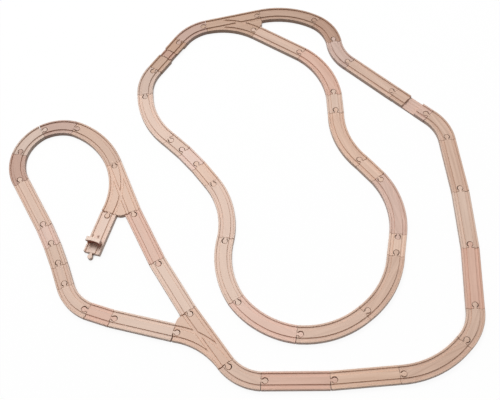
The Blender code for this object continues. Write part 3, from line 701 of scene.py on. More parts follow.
def socket_cutter(pose):
    """What is cut away for a socket: a keyhole with rounded lips, widening to a rounded rim at the deck."""
    sizes = settings().connectors
    depth, radius, half = socket_sizes()
    lip = sizes.mouth_round
    first, second = quarter_falls()
    lips = np.stack((lip * first, half + lip * second), axis=1)
    lead = np.concatenate(([(-CUT_MARGIN, half + lip)], lips))
    outline = keyhole(half, radius, depth, lead)
    deck = settings().boards.thickness
    rim = sizes.rim_round
    heights = np.concatenate(([-CUT_MARGIN], deck - rim * second, [deck + CUT_MARGIN]))
    insets = -np.concatenate(([0.0], rim * first, [rim]))
    return to_port(carried_outline(outline, heights, insets), reverse(pose))


def combined(body, tools, operation):
    """The body after one Boolean with all the tools; the meshes are used up."""
    if not tools:
        return body
    shape = bmesh.new()
    for tool in tools:
        shape.from_mesh(tool)
        bpy.data.meshes.remove(tool)
    tool_mesh = bpy.data.meshes.new("tool")
    shape.to_mesh(tool_mesh)
    shape.free()
    body_object = bpy.data.objects.new("body", body)
    tool_object = bpy.data.objects.new("tool", tool_mesh)
    for item in (body_object, tool_object):
        bpy.context.scene.collection.objects.link(item)
    modifier = body_object.modifiers.new("shape", "BOOLEAN")
    modifier.operation = operation
    modifier.object = tool_object
    depsgraph = bpy.context.evaluated_depsgraph_get()
    result = bpy.data.meshes.new_from_object(body_object.evaluated_get(depsgraph))
    for item in (body_object, tool_object):
        bpy.data.objects.remove(item)
    for mesh in (body, tool_mesh):
        bpy.data.meshes.remove(mesh)
    return result


def with_connectors(body, ports, ends):
    """The board with its pegs joined on and its sockets cut out."""
    pegs = [peg_shell(pose) for pose, end in zip(ports, ends) if end == PEG]
    sockets = [socket_cutter(pose) for pose, end in zip(ports, ends) if end == SOCKET]
    return combined(combined(body, pegs, "UNION"), sockets, "DIFFERENCE")


ORIGIN = Pose(0.0, 0.0, 0.0)
NEAR_PORT = Pose(0.0, 0.0, math.pi)


def track_mesh(kind, turn, ends):
    """A straight, short, spur or curved board with its connectors, in its own frame."""
    lengths = settings().lengths
    if turn == AHEAD:
        length = getattr(lengths, kind)
        body = board_shell(length)
        far = advance(ORIGIN, length)
    else:
        radius = getattr(lengths, kind.replace("curve", "radius"))
        body = board_shell(radius * CURVE_ANGLE, radius, turn)
        far = swing(ORIGIN, radius, turn)
    return with_connectors(body, (NEAR_PORT, far), ends)


def switch_edge(x):
    """Left edge of a switch that branches to the left, and where its arc and its end face end along X.

    It follows the branch's inner arc, then the branch's end face, then the bulged edge between the legs.
    """
    lengths = settings().lengths
    half = settings().boards.width / 2
    inner = lengths.switch_radius - half
    outer = lengths.switch_radius + half
    slant = np.array((math.sin(CURVE_ANGLE), math.cos(CURVE_ANGLE)))
    arc_end = np.array((inner * slant[0], lengths.switch_radius - inner * slant[1]))
    face_end = np.array((outer * slant[0], lengths.switch_radius - outer * slant[1]))
    leg = np.array((lengths.switch, half))
    chord = face_end - leg
    outward = np.array((chord[1], -chord[0])) / np.linalg.norm(chord)
    part = np.linspace(0.0, 1.0, CROTCH_POINTS)[:, None]
    crotch = leg + part * chord + 4 * part * (1 - part) * lengths.crotch_bulge * outward
    order = np.argsort(crotch[:, 0])
    arc = lengths.switch_radius - np.sqrt(np.maximum(inner ** 2 - x ** 2, 0.0))
    face = arc_end[1] + (x - arc_end[0]) * (face_end[1] - arc_end[1]) / (face_end[0] - arc_end[0])
    bulge = np.interp(x, crotch[order, 0], crotch[order, 1])
    edge = np.where(x <= arc_end[0], arc, np.where(x <= face_end[0], face, bulge))
    return np.where(x >= lengths.switch, half, edge), arc_end[0], face_end[0]


def closed_field(top):
    """Points and faces of the solid under a grid of points, down to the floor.

    Two side walls and the underside are ruled strips along the grid's rows, and two end walls close it.
    """
    count, width = top.shape[:2]
    floor = np.stack((top[:, 0], top[:, -1]), axis=1) * (1.0, 1.0, 0.0)
    first = count * width
    i = np.arange(count - 1)
    low, high = first + 2 * i, first + 2 * i + 1
    strips = (
        (i * width, (i + 1) * width, low + 2, low),
        (i * width + width - 1, (i + 1) * width + width - 1, high + 2, high),
        (low, low + 2, high + 2, high),
    )
    faces = grid_quads(count, width, False)
    faces += np.concatenate([np.stack(strip, axis=1) for strip in strips]).tolist()
    near_wall = [*range(width), first + 1, first]
    far_wall = [*range((count - 1) * width, count * width), first + 2 * count - 1, first + 2 * count - 2]
    return np.concatenate((top.reshape(-1, 3), floor.reshape(-1, 3))), [*faces, near_wall, far_wall]


def switch_shell(turn):
    """A switch as a height field over its plan: rows across the straight leg, out to the left edge.

    The deck falls by the deeper of the straight leg's and the branch's grooves and by quarter rounds
    along the edges.
    """
    boards = settings().boards
    lengths = settings().lengths
    half = boards.width / 2
    fade = quarter_falls()[0]
    ends = boards.end_round * fade
    rows = math.ceil(lengths.switch / DECK_SPACING)
    _, arc_end, face_end = switch_edge(np.zeros(1))
    x = np.concatenate((
        ends,
        np.linspace(0.0, lengths.switch, rows)[END_ROWS:-END_ROWS],
        lengths.switch - ends[::-1],
        [arc_end, face_end],
    ))
    x = np.unique(x.round(SWITCH_DECIMALS))
    edge = switch_edge(x)[0]
    slope = np.gradient(edge, x)
    lean = np.sqrt(1 + np.clip(slope, -STEEPEST, STEEPEST) ** 2)
    rounding = boards.edge_round * fade
    columns = math.ceil((edge.max() + half) / DECK_SPACING)
    spread = np.linspace(0.0, 1.0, columns)[1:-1]
    lower = -half + rounding[None, :] + 0 * x[:, None]
    upper = edge[:, None] - rounding[None, ::-1] * lean[:, None]
    between = lower[:, -1:] + spread * (upper[:, :1] - lower[:, -1:])
    y = np.concatenate((lower, between, upper), axis=1)
    across = x[:, None] + 0 * y
    branch = lengths.switch_radius - np.hypot(across, y - lengths.switch_radius)
    on_leg = np.where(y <= half, groove_fall(y), 0.0)
    fall = np.maximum(on_leg, groove_fall(branch))
    fall += quarter_round(np.minimum(y + half, (edge[:, None] - y) / lean[:, None]), boards.edge_round)
    fall += quarter_round(np.minimum(across, lengths.switch - across), boards.end_round)
    points, faces = closed_field(np.stack((across, y, boards.thickness - fall), axis=-1))
    return mesh_of(points * (1.0, turn, 1.0), faces)


def switch_mesh(turn, ends):
    """A switch with its three connectors, in its own frame."""
    lengths = settings().lengths
    ports = (NEAR_PORT, advance(ORIGIN, lengths.switch), swing(ORIGIN, lengths.switch_radius, turn))
    return with_connectors(switch_shell(turn), ports, ends)


def rectangle(x_range, y_range):
    """Outline of a rectangle, anticlockwise."""
    (left, right), (near, far) = x_range, y_range
    return np.array(((left, near), (right, near), (right, far), (left, far)))


def disc(centre, radius):
    """Outline of a circle on the centre line, anticlockwise."""
    angles = np.linspace(0.0, 2 * math.pi, HEAD_POINTS, endpoint=False)
    return arc_points(centre, radius, angles)


def slot_outline(start, end, radius):
    """Outline of a slot with round ends along X, anticlockwise."""
    angles = np.linspace(-math.pi / 2, math.pi / 2, HEAD_POINTS // 2)
    cap = arc_points(0.0, radius, angles)
    return np.concatenate((cap + (end, 0.0), -cap + (start, 0.0)))


def block(outline, low, high):
    """A plain prism, used to cut."""
    return carried_outline(outline, (low, high), (0.0, 0.0))


def sleeve_mesh(kind, end):
    """Sleeve block of a telescoping piece, rebated underneath for the tongue and drilled for the pin."""
    sizes = settings().expander
    sleeve = expander_sizes(kind)[0]
    wide = settings().boards.width / 2 + CUT_MARGIN
    inner = sleeve - sizes.overlap - sizes.closing - sizes.slide_clearance
    rebate = block(rectangle((inner, sleeve + CUT_MARGIN), (-wide, wide)), -CUT_MARGIN, sizes.shelf)
    hole = disc(sleeve - sizes.pin_setback, sizes.pin_radius + settings().stop.glue_gap)
    drilled = block(hole, sizes.shelf - CUT_MARGIN / 2, sizes.shelf + sizes.pin_depth)
    body = combined(board_shell(sleeve), [rebate], "DIFFERENCE")
    return with_connectors(combined(body, [drilled], "DIFFERENCE"), (NEAR_PORT,), (end,))


def tongue_mesh(kind, end, stretch):
    """Block with a half-height tongue that is slotted for the pin."""
    sizes = settings().expander
    sleeve, opening, length, inset = expander_sizes(kind)
    start = sleeve + opening + stretch
    body = board_shell(length)
    body.transform(Matrix.Translation((start, 0.0, 0.0)))
    half = settings().boards.width / 2 - inset
    reach = (sleeve - sizes.overlap, start + settings().connectors.peg_root)
    levels = rounded_levels(0.0, sizes.shelf - sizes.slide_clearance, sizes.tongue_round)
    tongue = carried_outline(rectangle(reach, (-half, half)), *levels)
    pin = sleeve - sizes.pin_setback
    slot = slot_outline(pin - sizes.opening_travel, pin + sizes.closing, sizes.pin_radius + sizes.slot_play)
    body = combined(body, [tongue], "UNION")
    body = combined(body, [block(slot, -CUT_MARGIN, sizes.shelf + CUT_MARGIN)], "DIFFERENCE")
    return with_connectors(body, (Pose(start + length, 0.0, 0.0),), (end,))


def pin_mesh(kind):
    """Guide pin with softened ends."""
    sizes = settings().expander
    outline = disc(expander_sizes(kind)[0] - sizes.pin_setback, sizes.pin_radius)
    top = sizes.shelf + sizes.pin_depth - settings().stop.glue_gap
    return carried_outline(outline, *rounded_levels(sizes.pin_foot, top, settings().connectors.rim_round))


def filler_mesh(kind, stretch):
    """Loose grooved block that lies on the open tongue."""
    sizes = settings().expander
    sleeve, opening = expander_sizes(kind)[:2]
    body = board_shell(opening + stretch - 2 * sizes.filler_gap, bottom=sizes.shelf)
    narrowed = Matrix.Scale(sizes.filler_width, 4, (0.0, 1.0, 0.0))
    body.transform(Matrix.Translation((sleeve + sizes.filler_gap, 0.0, 0.0)) @ narrowed)
    return body


def stop_face():
    """Distance along the spur of the stop's face towards the trains."""
    stop = settings().stop
    return settings().lengths.spur - stop.setback - stop.depth


def hollow_outline(width, hollow, radius):
    """Plan of a block across the spur, anticlockwise: round corners, a straight front and a hollowed back.

    Front and back are taken at the same places across, closer together towards the sides. Each side is a
    quarter round, and the back is drawn in by a parabola, deepest in the middle.
    """
    stop = settings().stop
    half = width / 2
    across = half * np.sin(np.linspace(-math.pi / 2, math.pi / 2, STOP_POINTS))
    front = quarter_round(half - np.abs(across), radius)
    back = stop.depth - front - hollow * (1 - (across / half) ** 2)
    plan = np.concatenate((np.stack((back, across), axis=1), np.stack((front, across), axis=1)[::-1]))
    return plan + (stop_face(), 0.0)


def back_stain_and_shade(points, top=math.inf):
    """How far a point of the stop takes the red-brown stain and its painted shade: not on its front, and
    fully on its back, under any top edge, where the hollow lies in shade.
    """
    stop = settings().stop
    behind = np.clip((points[:, 0] - stop_face()) / (stop.depth - stop.post_hollow), 0.0, 1.0)
    return behind * (points[:, 2] < top - stop.beam_round / 2)


def post_mesh():
    """Upright block of the stop, hollowed at its back, its edges softened."""
    stop = settings().stop
    base = settings().boards.thickness + stop.glue_gap
    outline = hollow_outline(stop.post_width, stop.post_hollow, stop.post_round)
    return carried_outline(outline, *rounded_levels(base, base + stop.post_height, stop.post_rim))


def beam_base():
    """Height of the beam's underside: the deck, the post and a glue gap on each side of the post."""
    stop = settings().stop
    return settings().boards.thickness + 2 * stop.glue_gap + stop.post_height


def beam_mesh():
    """Cross beam of the stop, rounded all over, its back edge drawn in a little."""
    stop = settings().stop
    base = beam_base()
    outline = hollow_outline(stop.beam_width, stop.beam_hollow, stop.beam_round)
    return carried_outline(outline, *rounded_levels(base, base + stop.beam_height, stop.beam_round))


def buffer_mesh(side):
    """Turned buffer: a profile of radii along its axis, carried round that axis."""
    stop = settings().stop
    neck = stop.buffer_length - stop.head_length
    first, second = quarter_falls()
    soft = stop.head_dome / 2
    stem = [(0.0, 0.0), (0.0, stop.stem_radius), (neck, stop.stem_radius)]
    head_back = np.stack((neck + soft * first, stop.head_radius - soft * second), axis=1)
    dome = np.stack((
        stop.buffer_length - stop.head_dome * second,
        stop.head_radius - stop.head_dome * first,
    ), axis=1)
    profile = np.concatenate((stem, head_back, dome, [(stop.buffer_length, 0.0)]))
    angles = np.linspace(0.0, 2 * math.pi, HEAD_POINTS, endpoint=False)
    along = np.broadcast_to(-profile[:, :1], (len(profile), HEAD_POINTS))
    points = np.stack((along, profile[:, 1:] * np.cos(angles), profile[:, 1:] * np.sin(angles)), axis=-1)
    body = mesh_of(points, grid_quads(len(profile), HEAD_POINTS, True))
    height = beam_base() + stop.beam_height / 2
    body.transform(Matrix.Translation((stop_face() - stop.glue_gap, side * stop.buffer_spacing / 2, height)))
    return body


# Wood

# Attributes of a piece's points: place along and across the grain, brightness and richness of colour with
# painted light, and stain with painted shade
GRAIN = "grain"
TONE_AND_SHEEN = "tone"
RICHNESS_AND_SHEEN = "richness"
STAIN_AND_SHADE = "stain"
# How far pieces' grains lie apart, and how far pieces of one tone differ
GRAIN_SPREAD = 3.0
TONE_SPREAD = 0.015
SEED_START = 7

# A figure of the wood: features per metre along and across the grain, detail of the noise, the range of it
# that shows, and the tint that it mixes in, beside the board's colour
Figure = namedtuple("Figure", "along across detail shown tint", defaults=(None,))
STREAKS = Figure(7.0, 210.0, 3.0, (0.32, 0.70))
FIBRES = Figure(45.0, 1500.0, 2.0, (0.45, 0.75), (0.55, 0.48, 0.42))
FLECKS = Figure(330.0, 2100.0, 0.0, (0.66, 0.74), (0.42, 0.34, 0.28))
PATCHES = Figure(9.0, 30.0, 2.0, (0.40, 0.72), (0.90, 0.78, 0.70))
PATCH_STRENGTH = 0.16
NOISE_ROUGHNESS = 0.55
# How far a streak at full strength is lighter or deeper than the board
STREAK_LIGHT = np.array((0.45, 0.50, 0.55))
STREAK_DEEP = np.array((0.75, 0.95, 1.10))
# Range of the streaks over which the finish goes from its least to its greatest roughness
ROUGHNESS_SHOWN = (0.3, 0.7)
ROUGHNESS_LESS = 0.06
ROUGHNESS_MORE = 0.08
BUMP_STRENGTH = 0.18
BUMP_DISTANCE = 0.0002


def grain_seed(name):
    """A number generator that is the same for a piece on every run."""
    return np.random.default_rng(sum(ord(letter) * (place + SEED_START) for place, letter in enumerate(name)))


def write_attribute(mesh, name, values):
    """Give each of the mesh's points a number, or a vector where the values have columns."""
    vectors = values.ndim > 1
    attribute = mesh.attributes.new(name, "FLOAT_VECTOR" if vectors else "FLOAT", "POINT")
    attribute.data.foreach_set("vector" if vectors else "value", values.astype(np.float32).ravel())


class Shading:
    """The nodes of a material or a world, and the steps that add and join them.

    What a step takes may be another node's socket or a constant.
    """

    def __init__(self, owner):
        owner.use_nodes = True
        self.nodes = owner.node_tree.nodes
        self.links = owner.node_tree.links

    def add(self, kind, **values):
        """A new node, with some of its values set."""
        node = self.nodes.new(kind)
        for name, value in values.items():
            setattr(node, name, value)
        return node

    def feed(self, socket, value):
        """Give a socket its value; a constant colour is opaque."""
        if isinstance(value, bpy.types.NodeSocket):
            self.links.new(value, socket)
        elif socket.type == "RGBA":
            socket.default_value = (*value, 1.0)
        else:
            socket.default_value = value

    def fed(self, node, **values):
        """The node, with values given to some of its sockets by name."""
        for name, value in values.items():
            self.feed(node.inputs[name], value)
        return node

    def number(self, operation, *values):
        """Arithmetic on numbers."""
        node = self.add("ShaderNodeMath", operation=operation)
        for socket, value in zip(node.inputs, values):
            self.feed(socket, value)
        return node.outputs["Value"]

    def vector(self, operation, *values, result="Vector"):
        """Arithmetic on vectors."""
        node = self.add("ShaderNodeVectorMath", operation=operation)
        for socket, value in zip(node.inputs, values):
            self.feed(socket, value)
        return node.outputs[result]

    def attribute(self, name, result="Fac"):
        """What the piece's points have under a name."""
        return self.add("ShaderNodeAttribute", attribute_name=name).outputs[result]

    def remapped(self, value, from_range, to_range):
        """A value moved from one range to another, and kept within it."""
        node = self.fed(self.add("ShaderNodeMapRange"), Value=value)
        for name, number in zip(("From Min", "From Max", "To Min", "To Max"), (*from_range, *to_range)):
            node.inputs[name].default_value = number
        return node.outputs["Result"]

    def tinted(self, amount, below, above):
        """A colour mixed from two, by an amount."""
        mix = self.add("ShaderNodeMix", data_type="RGBA")
        return self.fed(mix, Factor=amount, A=below, B=above).outputs["Result"]

    def show_mix(self, amount, below, above, output):
        """Two shaders mixed by an amount, as the surface of an output."""
        mix = self.add("ShaderNodeMixShader")
        for socket, value in zip(mix.inputs, (amount, below, above)):
            self.feed(socket, value)
        self.fed(self.add(output), Surface=mix.outputs["Shader"])


def grain_noise(shading, figure):
    """Noise on the grain coordinates, stretched to a figure's features along and across the grain."""
    stretch = (figure.along, figure.across, figure.across)
    where = shading.vector("MULTIPLY", shading.attribute(GRAIN, "Vector"), stretch)
    noise = shading.add("ShaderNodeTexNoise")
    shading.fed(noise, Vector=where, Scale=1.0, Detail=figure.detail, Roughness=NOISE_ROUGHNESS)
    return noise.outputs["Fac"]


def beech(slot):
    """Clear-finished beech: streaks and fibres along the grain, short flecks and darker patches.

    Each figure mixes its tint into the board's colour. The piece's own attributes then set how bright and
    rich the colour is, which on some boards holds painted sheen and painted shade, and mix in the red-brown
    stain with the painted shade of the stop's hollow.
    """
    name = f"grained_{slot}"
    if name in bpy.data.materials:
        return bpy.data.materials[name]
    wood = settings().wood
    base = np.array(getattr(wood, slot))
    material = bpy.data.materials.new(name)
    shading = Shading(material)

    streaks = grain_noise(shading, STREAKS)
    light = np.minimum(base * (1 + wood.streaks * STREAK_LIGHT), 1.0)
    deep = base * (1 - wood.streaks * STREAK_DEEP)
    shade = shading.tinted(shading.remapped(streaks, STREAKS.shown, (0.0, 1.0)), deep, light)
    fibres = grain_noise(shading, FIBRES)
    for noise, figure, strength in (
        (fibres, FIBRES, wood.fibres),
        (grain_noise(shading, FLECKS), FLECKS, wood.flecks),
        (grain_noise(shading, PATCHES), PATCHES, PATCH_STRENGTH),
    ):
        amount = shading.remapped(noise, figure.shown, (0.0, strength))
        shade = shading.tinted(amount, shade, base * figure.tint)

    # Brightness and richness of each board: its own tone, plus the painted sheen and painted shade of its
    # group
    toned = shading.add("ShaderNodeHueSaturation")
    shading.fed(toned, Color=shade, Value=shading.attribute(TONE_AND_SHEEN), Saturation=shading.attribute(RICHNESS_AND_SHEEN))
    # The red-brown stain on the stop's back also paints the shade of its hollow
    stained_and_shaded = shading.tinted(shading.attribute(STAIN_AND_SHADE), toned.outputs["Color"], wood.stain)
    limits = (wood.roughness - ROUGHNESS_LESS, wood.roughness + ROUGHNESS_MORE)
    roughness = shading.remapped(streaks, ROUGHNESS_SHOWN, limits)
    bump = shading.add("ShaderNodeBump")
    shading.fed(bump, Strength=BUMP_STRENGTH, Distance=BUMP_DISTANCE, Height=fibres)
    surface = shading.nodes["Principled BSDF"]
    shading.feed(surface.inputs["Base Color"], stained_and_shaded)
    shading.fed(surface, Roughness=roughness, Normal=bump.outputs["Normal"])
    return material


# The boards of the set differ in tone. Each group has its brightness and its richness of colour, which also
# hold
# painted light: the brightest, palest groups carry a painted sheen, and the darkest, richest ones painted
# shade where that sheen is missing at the far side; the boards named in none are plain.
Tone = namedtuple("Tone", "level richness boards", defaults=((),))
PLAIN = Tone(1.03, 1.01)
BOARD_TONES_AND_SHEEN = (
    Tone(0.75, 1.33, (
        "switch_pear", "pear_expander_sleeve", "pear_expander_filler", "pear_expander_tongue",
    )),
    Tone(0.78, 1.12, ("pear_small_curve_1", "link_large_curve_1", "drop_small_curve_4")),
    Tone(0.90, 0.93, ("pear_small_curve_2", "drop_small_curve_3", "link_small_curve_2")),
    Tone(0.92, 1.12, ("drop_large_curve_1", "drop_short_3", "drop_small_curve_2", "link_small_curve_1")),
    Tone(1.02, 1.18, (
        "cross_straight_2", "drop_short_1", "link_straight_4", "link_straight_5", "link_straight_6",
        "pear_large_curve_9",
    )),
    Tone(1.12, 1.05, (
        "pear_large_curve_4", "pear_large_curve_8", "pear_short_3", "pear_short_4", "pear_short_5",
        "switch_drop", "switch_spur",
    )),
    Tone(1.15, 0.90, ("pear_large_curve_1", "pear_large_curve_2", "pear_short_2", "spur_track", "stop_beam")),
)


def board_tone_and_sheen(name):
    """The tone of a board, with the painted sheen and painted shade of its group."""
    return next((tone for tone in BOARD_TONES_AND_SHEEN if name in tone.boards), PLAIN)


def close_seams(points, piece):
    """Move a board's ends outwards, so that a kinked seam is less of a wedge.

    An end face moves by a share of half the wedge, which is nothing at the closed corner and grows evenly
    to the open one. The move fades out a little way into the board.
    """
    closed = points.copy()
    ends = (NEAR_PORT, far_end(ORIGIN, piece.kind, piece.turn))
    for end, kink in zip(ends, piece.kinks):
        outward = np.array((math.cos(end.heading), math.sin(end.heading)))
        offset = points[:, :2] - (end.x, end.y)
        along = offset @ outward
        across = offset @ np.array((-outward[1], outward[0]))
        wedge = math.tan(abs(kink)) * (settings().boards.width / 2 - math.copysign(1.0, kink) * across)
        move = CLOSING_SHARE * wedge / 2 * np.clip(1 + along / CLOSING_REACH, 0.0, 1.0)
        closed[:, :2] += np.maximum(move, 0.0)[:, None] * outward
    return closed


def grain_turn(kind, turn):
    """Direction of the grain in a piece's own frame: on a curve, sawn from a plank, along its chord."""
    return turn * CURVE_ANGLE / 2 if "curve" in kind else 0.0


def figure_piece(node, mesh, piece, stain):
    """Write what the wood reads at each point: grain coordinates, tone and richness with their painted light,
    and stain with its painted shade.

    The grain coordinates are the piece's own, turned to its grain and moved to a place of their own in the
    noise.
    """
    random = grain_seed(node)
    points = board_points(mesh)
    direction = grain_turn(piece.kind, piece.turn)
    cosine, sine = math.cos(direction), math.sin(direction)
    turned = np.array(((cosine, -sine, 0.0), (sine, cosine, 0.0), (0.0, 0.0, 1.0)))
    write_attribute(mesh, GRAIN, points @ turned + GRAIN_SPREAD * random.random(3))
    tone = board_tone_and_sheen(node)
    level = tone.level * (1 + TONE_SPREAD * random.uniform(-1.0, 1.0))
    # Level and richness hold the group's painted light as well as the board's own tone
    for name, value in ((TONE_AND_SHEEN, level), (RICHNESS_AND_SHEEN, tone.richness), (STAIN_AND_SHADE, stain)):
        write_attribute(mesh, name, value * np.ones(len(points)))


def place_piece(node, mesh, piece):
    """Move the mesh to its place in the layout, and make sure that it fills its node's box there."""
    points = board_points(mesh)
    placed = placed_points(close_seams(points, piece) if piece.kinks else points, piece.pose)
    mesh.vertices.foreach_set("co", placed.astype(np.float32).ravel())
    low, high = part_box(node)
    error = max(np.abs(placed.min(0) - np.array(low)).max(), np.abs(placed.max(0) - np.array(high)).max())
    if error > BOX_TOLERANCE:
        raise RuntimeError(f"{node} is {error * 1000:.2f} mm away from its place in the frame")


def finish_piece(node, mesh, piece, stain=0.0):
    """Finish a piece that stands for its node: figure, place, material, body and slot."""
    figure_piece(node, mesh, piece, stain)
    place_piece(node, mesh, piece)
    mesh.shade_smooth()
    mesh.set_sharp_from_angle(angle=SHARP_ANGLE)
    mesh.materials.clear()
    mesh.materials.append(beech(SLOT_OF[node]))
    finished = bpy.data.objects.new(f"finished_{node}", mesh)
    mesh.name = finished.name
    bpy.context.scene.collection.objects.link(finished)
    weighted = finished.modifiers.new("even_normals", "WEIGHTED_NORMAL")
    weighted.keep_sharp = True
    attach(finished, BODY_OF[node])
    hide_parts(node)


def finish_kind(kind):
    """Make every board of one kind; boards of the same hand and ends start from one shape."""
    shapes = {}
    for piece in layout().pieces.values():
        if piece.kind == kind:
            key = (piece.turn, piece.ends)
            if key not in shapes:
                shapes[key] = switch_mesh(*key) if kind == "switch" else track_mesh(kind, *key)
            finish_piece(piece.name, shapes[key].copy(), piece)
    for shape in shapes.values():
        bpy.data.meshes.remove(shape)


def finish_expander(kind, stretch):
    """Make the sleeve, tongue and pin of a telescoping piece."""
    piece = layout().pieces[kind]
    finish_piece(f"{kind}_sleeve", sleeve_mesh(kind, piece.ends[0]), piece)
    finish_piece(f"{kind}_tongue", tongue_mesh(kind, piece.ends[1], stretch), piece)
    finish_piece(f"{kind}_pin", pin_mesh(kind), piece)
    return piece


# Operators

class RAILWAY_OT_straights(bpy.types.Operator):
    """Make the straight boards: the grooved section carried along a straight, with peg and socket"""

    bl_idname = "railway.straights"
    bl_label = "Straights"

    def execute(self, context):
        finish_kind("straight")
        return {"FINISHED"}


class RAILWAY_OT_shorts(bpy.types.Operator):
    """Make the short straights, among them those with two pegs or two sockets"""

    bl_idname = "railway.shorts"
    bl_label = "Short straights"

    def execute(self, context):
        finish_kind("short")
        return {"FINISHED"}


class RAILWAY_OT_large_curves(bpy.types.Operator):
    """Make the large curves: the grooved section carried along an eighth of a large circle"""

    bl_idname = "railway.large_curves"
    bl_label = "Large curves"

    def execute(self, context):
        finish_kind("large_curve")
        return {"FINISHED"}


class RAILWAY_OT_small_curves(bpy.types.Operator):
    """Make the small curves: the grooved section carried along an eighth of a small circle"""

    bl_idname = "railway.small_curves"
    bl_label = "Small curves"

    def execute(self, context):
        finish_kind("small_curve")
        return {"FINISHED"}


class RAILWAY_OT_switches(bpy.types.Operator):
    """Make the three switches: a height field of crossing grooves over the plan of both legs"""

    bl_idname = "railway.switches"
    bl_label = "Switches"

    def execute(self, context):
        finish_kind("switch")
        return {"FINISHED"}


class RAILWAY_OT_link_expander(bpy.types.Operator):
    """Make the link line's telescoping piece: sleeve, bare tongue and guide pin"""

    bl_idname = "railway.link_expander"
    bl_label = "Link telescoping piece"

    def execute(self, context):
        finish_expander("link_expander", 0.0)
        return {"FINISHED"}


class RAILWAY_OT_pear_expander(bpy.types.Operator):
    """Make the pear loop's telescoping piece: sleeve, tongue, guide pin and the filler block between"""

    bl_idname = "railway.pear_expander"
    bl_label = "Pear telescoping piece"

    def execute(self, context):
        stretch = layout().stretch
        piece = finish_expander("pear_expander", stretch)
        finish_piece("pear_expander_filler", filler_mesh("pear_expander", stretch), piece)
        return {"FINISHED"}


class RAILWAY_OT_spur(bpy.types.Operator):
    """Make the spur and its stop: a straight board, a post, a rounded beam and two turned buffers"""

    bl_idname = "railway.spur"
    bl_label = "Spur and stop"

    def execute(self, context):
        finish_kind("spur")
        piece = layout().pieces["spur_track"]
        post, beam = post_mesh(), beam_mesh()
        beam_top = beam_base() + settings().stop.beam_height
        # The backs of post and beam, under the beam's top edge, get the stain with its painted shade
        finish_piece("stop_post", post, piece, back_stain_and_shade(board_points(post)))
        finish_piece("stop_beam", beam, piece, back_stain_and_shade(board_points(beam), beam_top))
        finish_piece("buffer_left", buffer_mesh(LEFT), piece)
        finish_piece("buffer_right", buffer_mesh(RIGHT), piece)
        return {"FINISHED"}


# Stage

WHITE = (1.0, 1.0, 1.0)
FLOOR_REACH = 12.0
FLOOR_DROP = 0.0003
# Floor that has walls within this reach, on the side of this direction, loses its white over this range
SHELTER_REACH = 0.012
SHELTER_SAMPLES = 16
SHELTER_SIDE = (0.0, -0.6, 0.8)
SHELTER_RANGE = (0.38, 0.66)
# The sky's light grows along this axis, over this range of its cosine, and not from side to side
SKY_AXIS = (0.0, 0.62, 0.78)
SKY_RANGE = (0.05, 0.95)
SKY_PLANE = (0.0, 1.0, 1.0)
KEY_PLACE = (-0.80, 2.80, 5.6)
KEY_TARGET = (0.0, 0.0, 0.0)
KEY_SIZE = 3.6
SENSOR_WIDTH = 36.0


def seen_directly(shading):
    """1 for rays that the camera sees directly, or through gloss or glass, and 0 for light on the object."""
    path = shading.add("ShaderNodeLightPath")
    seen = path.outputs["Is Camera Ray"]
    for name in ("Is Glossy Ray", "Is Transmission Ray"):
        seen = shading.number("MAXIMUM", seen, path.outputs[name])
    return seen


def open_floor(shading):
    """How open the floor is: 0 in the seams between boards and under their edges, 1 a little way off."""
    side = shading.add("ShaderNodeCombineXYZ")
    for socket, part in zip(side.inputs, SHELTER_SIDE):
        socket.default_value = part
    shelter = shading.add("ShaderNodeAmbientOcclusion", samples=SHELTER_SAMPLES)
    shading.fed(shelter, Normal=side.outputs["Vector"], Distance=SHELTER_REACH)
    return shading.remapped(shelter.outputs["AO"], SHELTER_RANGE, (0.0, 1.0))


def white_light(shading, kind, strength=1.0):
    """A shader of white light."""
    return shading.fed(shading.add(kind), Color=WHITE, Strength=strength).outputs[0]


def add_floor(stage):
    """A wide pale floor: plain diffuse for the light, lifted to white where it is open and seen."""
    outline = rectangle((-FLOOR_REACH, FLOOR_REACH), (-FLOOR_REACH, FLOOR_REACH))
    points = np.concatenate((outline, np.full((len(outline), 1), -FLOOR_DROP)), axis=1)
    mesh = mesh_of(points, [list(range(len(outline)))])
    floor = bpy.data.objects.new("floor", mesh)
    bpy.context.scene.collection.objects.link(floor)
    material = bpy.data.materials.new("floor_white")
    shading = Shading(material)
    shading.nodes.clear()
    seen = seen_directly(shading)
    matt = shading.add("ShaderNodeBsdfDiffuse")
    shading.fed(matt, Color=shading.tinted(seen, stage.floor_colour, stage.floor_seen))
    plain = white_light(shading, "ShaderNodeEmission")
    lift = shading.number("MULTIPLY", shading.number("MULTIPLY", seen, stage.floor_lift), open_floor(shading))
    shading.show_mix(lift, matt.outputs["BSDF"], plain, "ShaderNodeOutputMaterial")
    mesh.materials.append(material)


def add_sky(stage):
    """Light that grows from the front over the top to the back, even from side to side, seen as white."""
    world = bpy.data.worlds.new("sky")
    shading = Shading(world)
    shading.nodes.clear()
    way = shading.add("ShaderNodeTexCoord").outputs["Generated"]
    unit = shading.vector("NORMALIZE", shading.vector("MULTIPLY", way, SKY_PLANE))
    height = shading.vector("DOT_PRODUCT", unit, SKY_AXIS, result="Value")
    strength = shading.remapped(height, SKY_RANGE, (stage.sky_low, stage.sky_high))
    light = white_light(shading, "ShaderNodeBackground", strength)
    plain = white_light(shading, "ShaderNodeBackground")
    shading.show_mix(seen_directly(shading), light, plain, "ShaderNodeOutputWorld")
    bpy.context.scene.world = world


def placement(right, up, back, place):
    """The matrix of a lamp or camera whose own axes are right, up and back."""
    matrix = np.eye(4)
    matrix[:3, :3] = np.stack((right, up, back), axis=1)
    matrix[:3, 3] = place
    return Matrix(matrix.tolist())


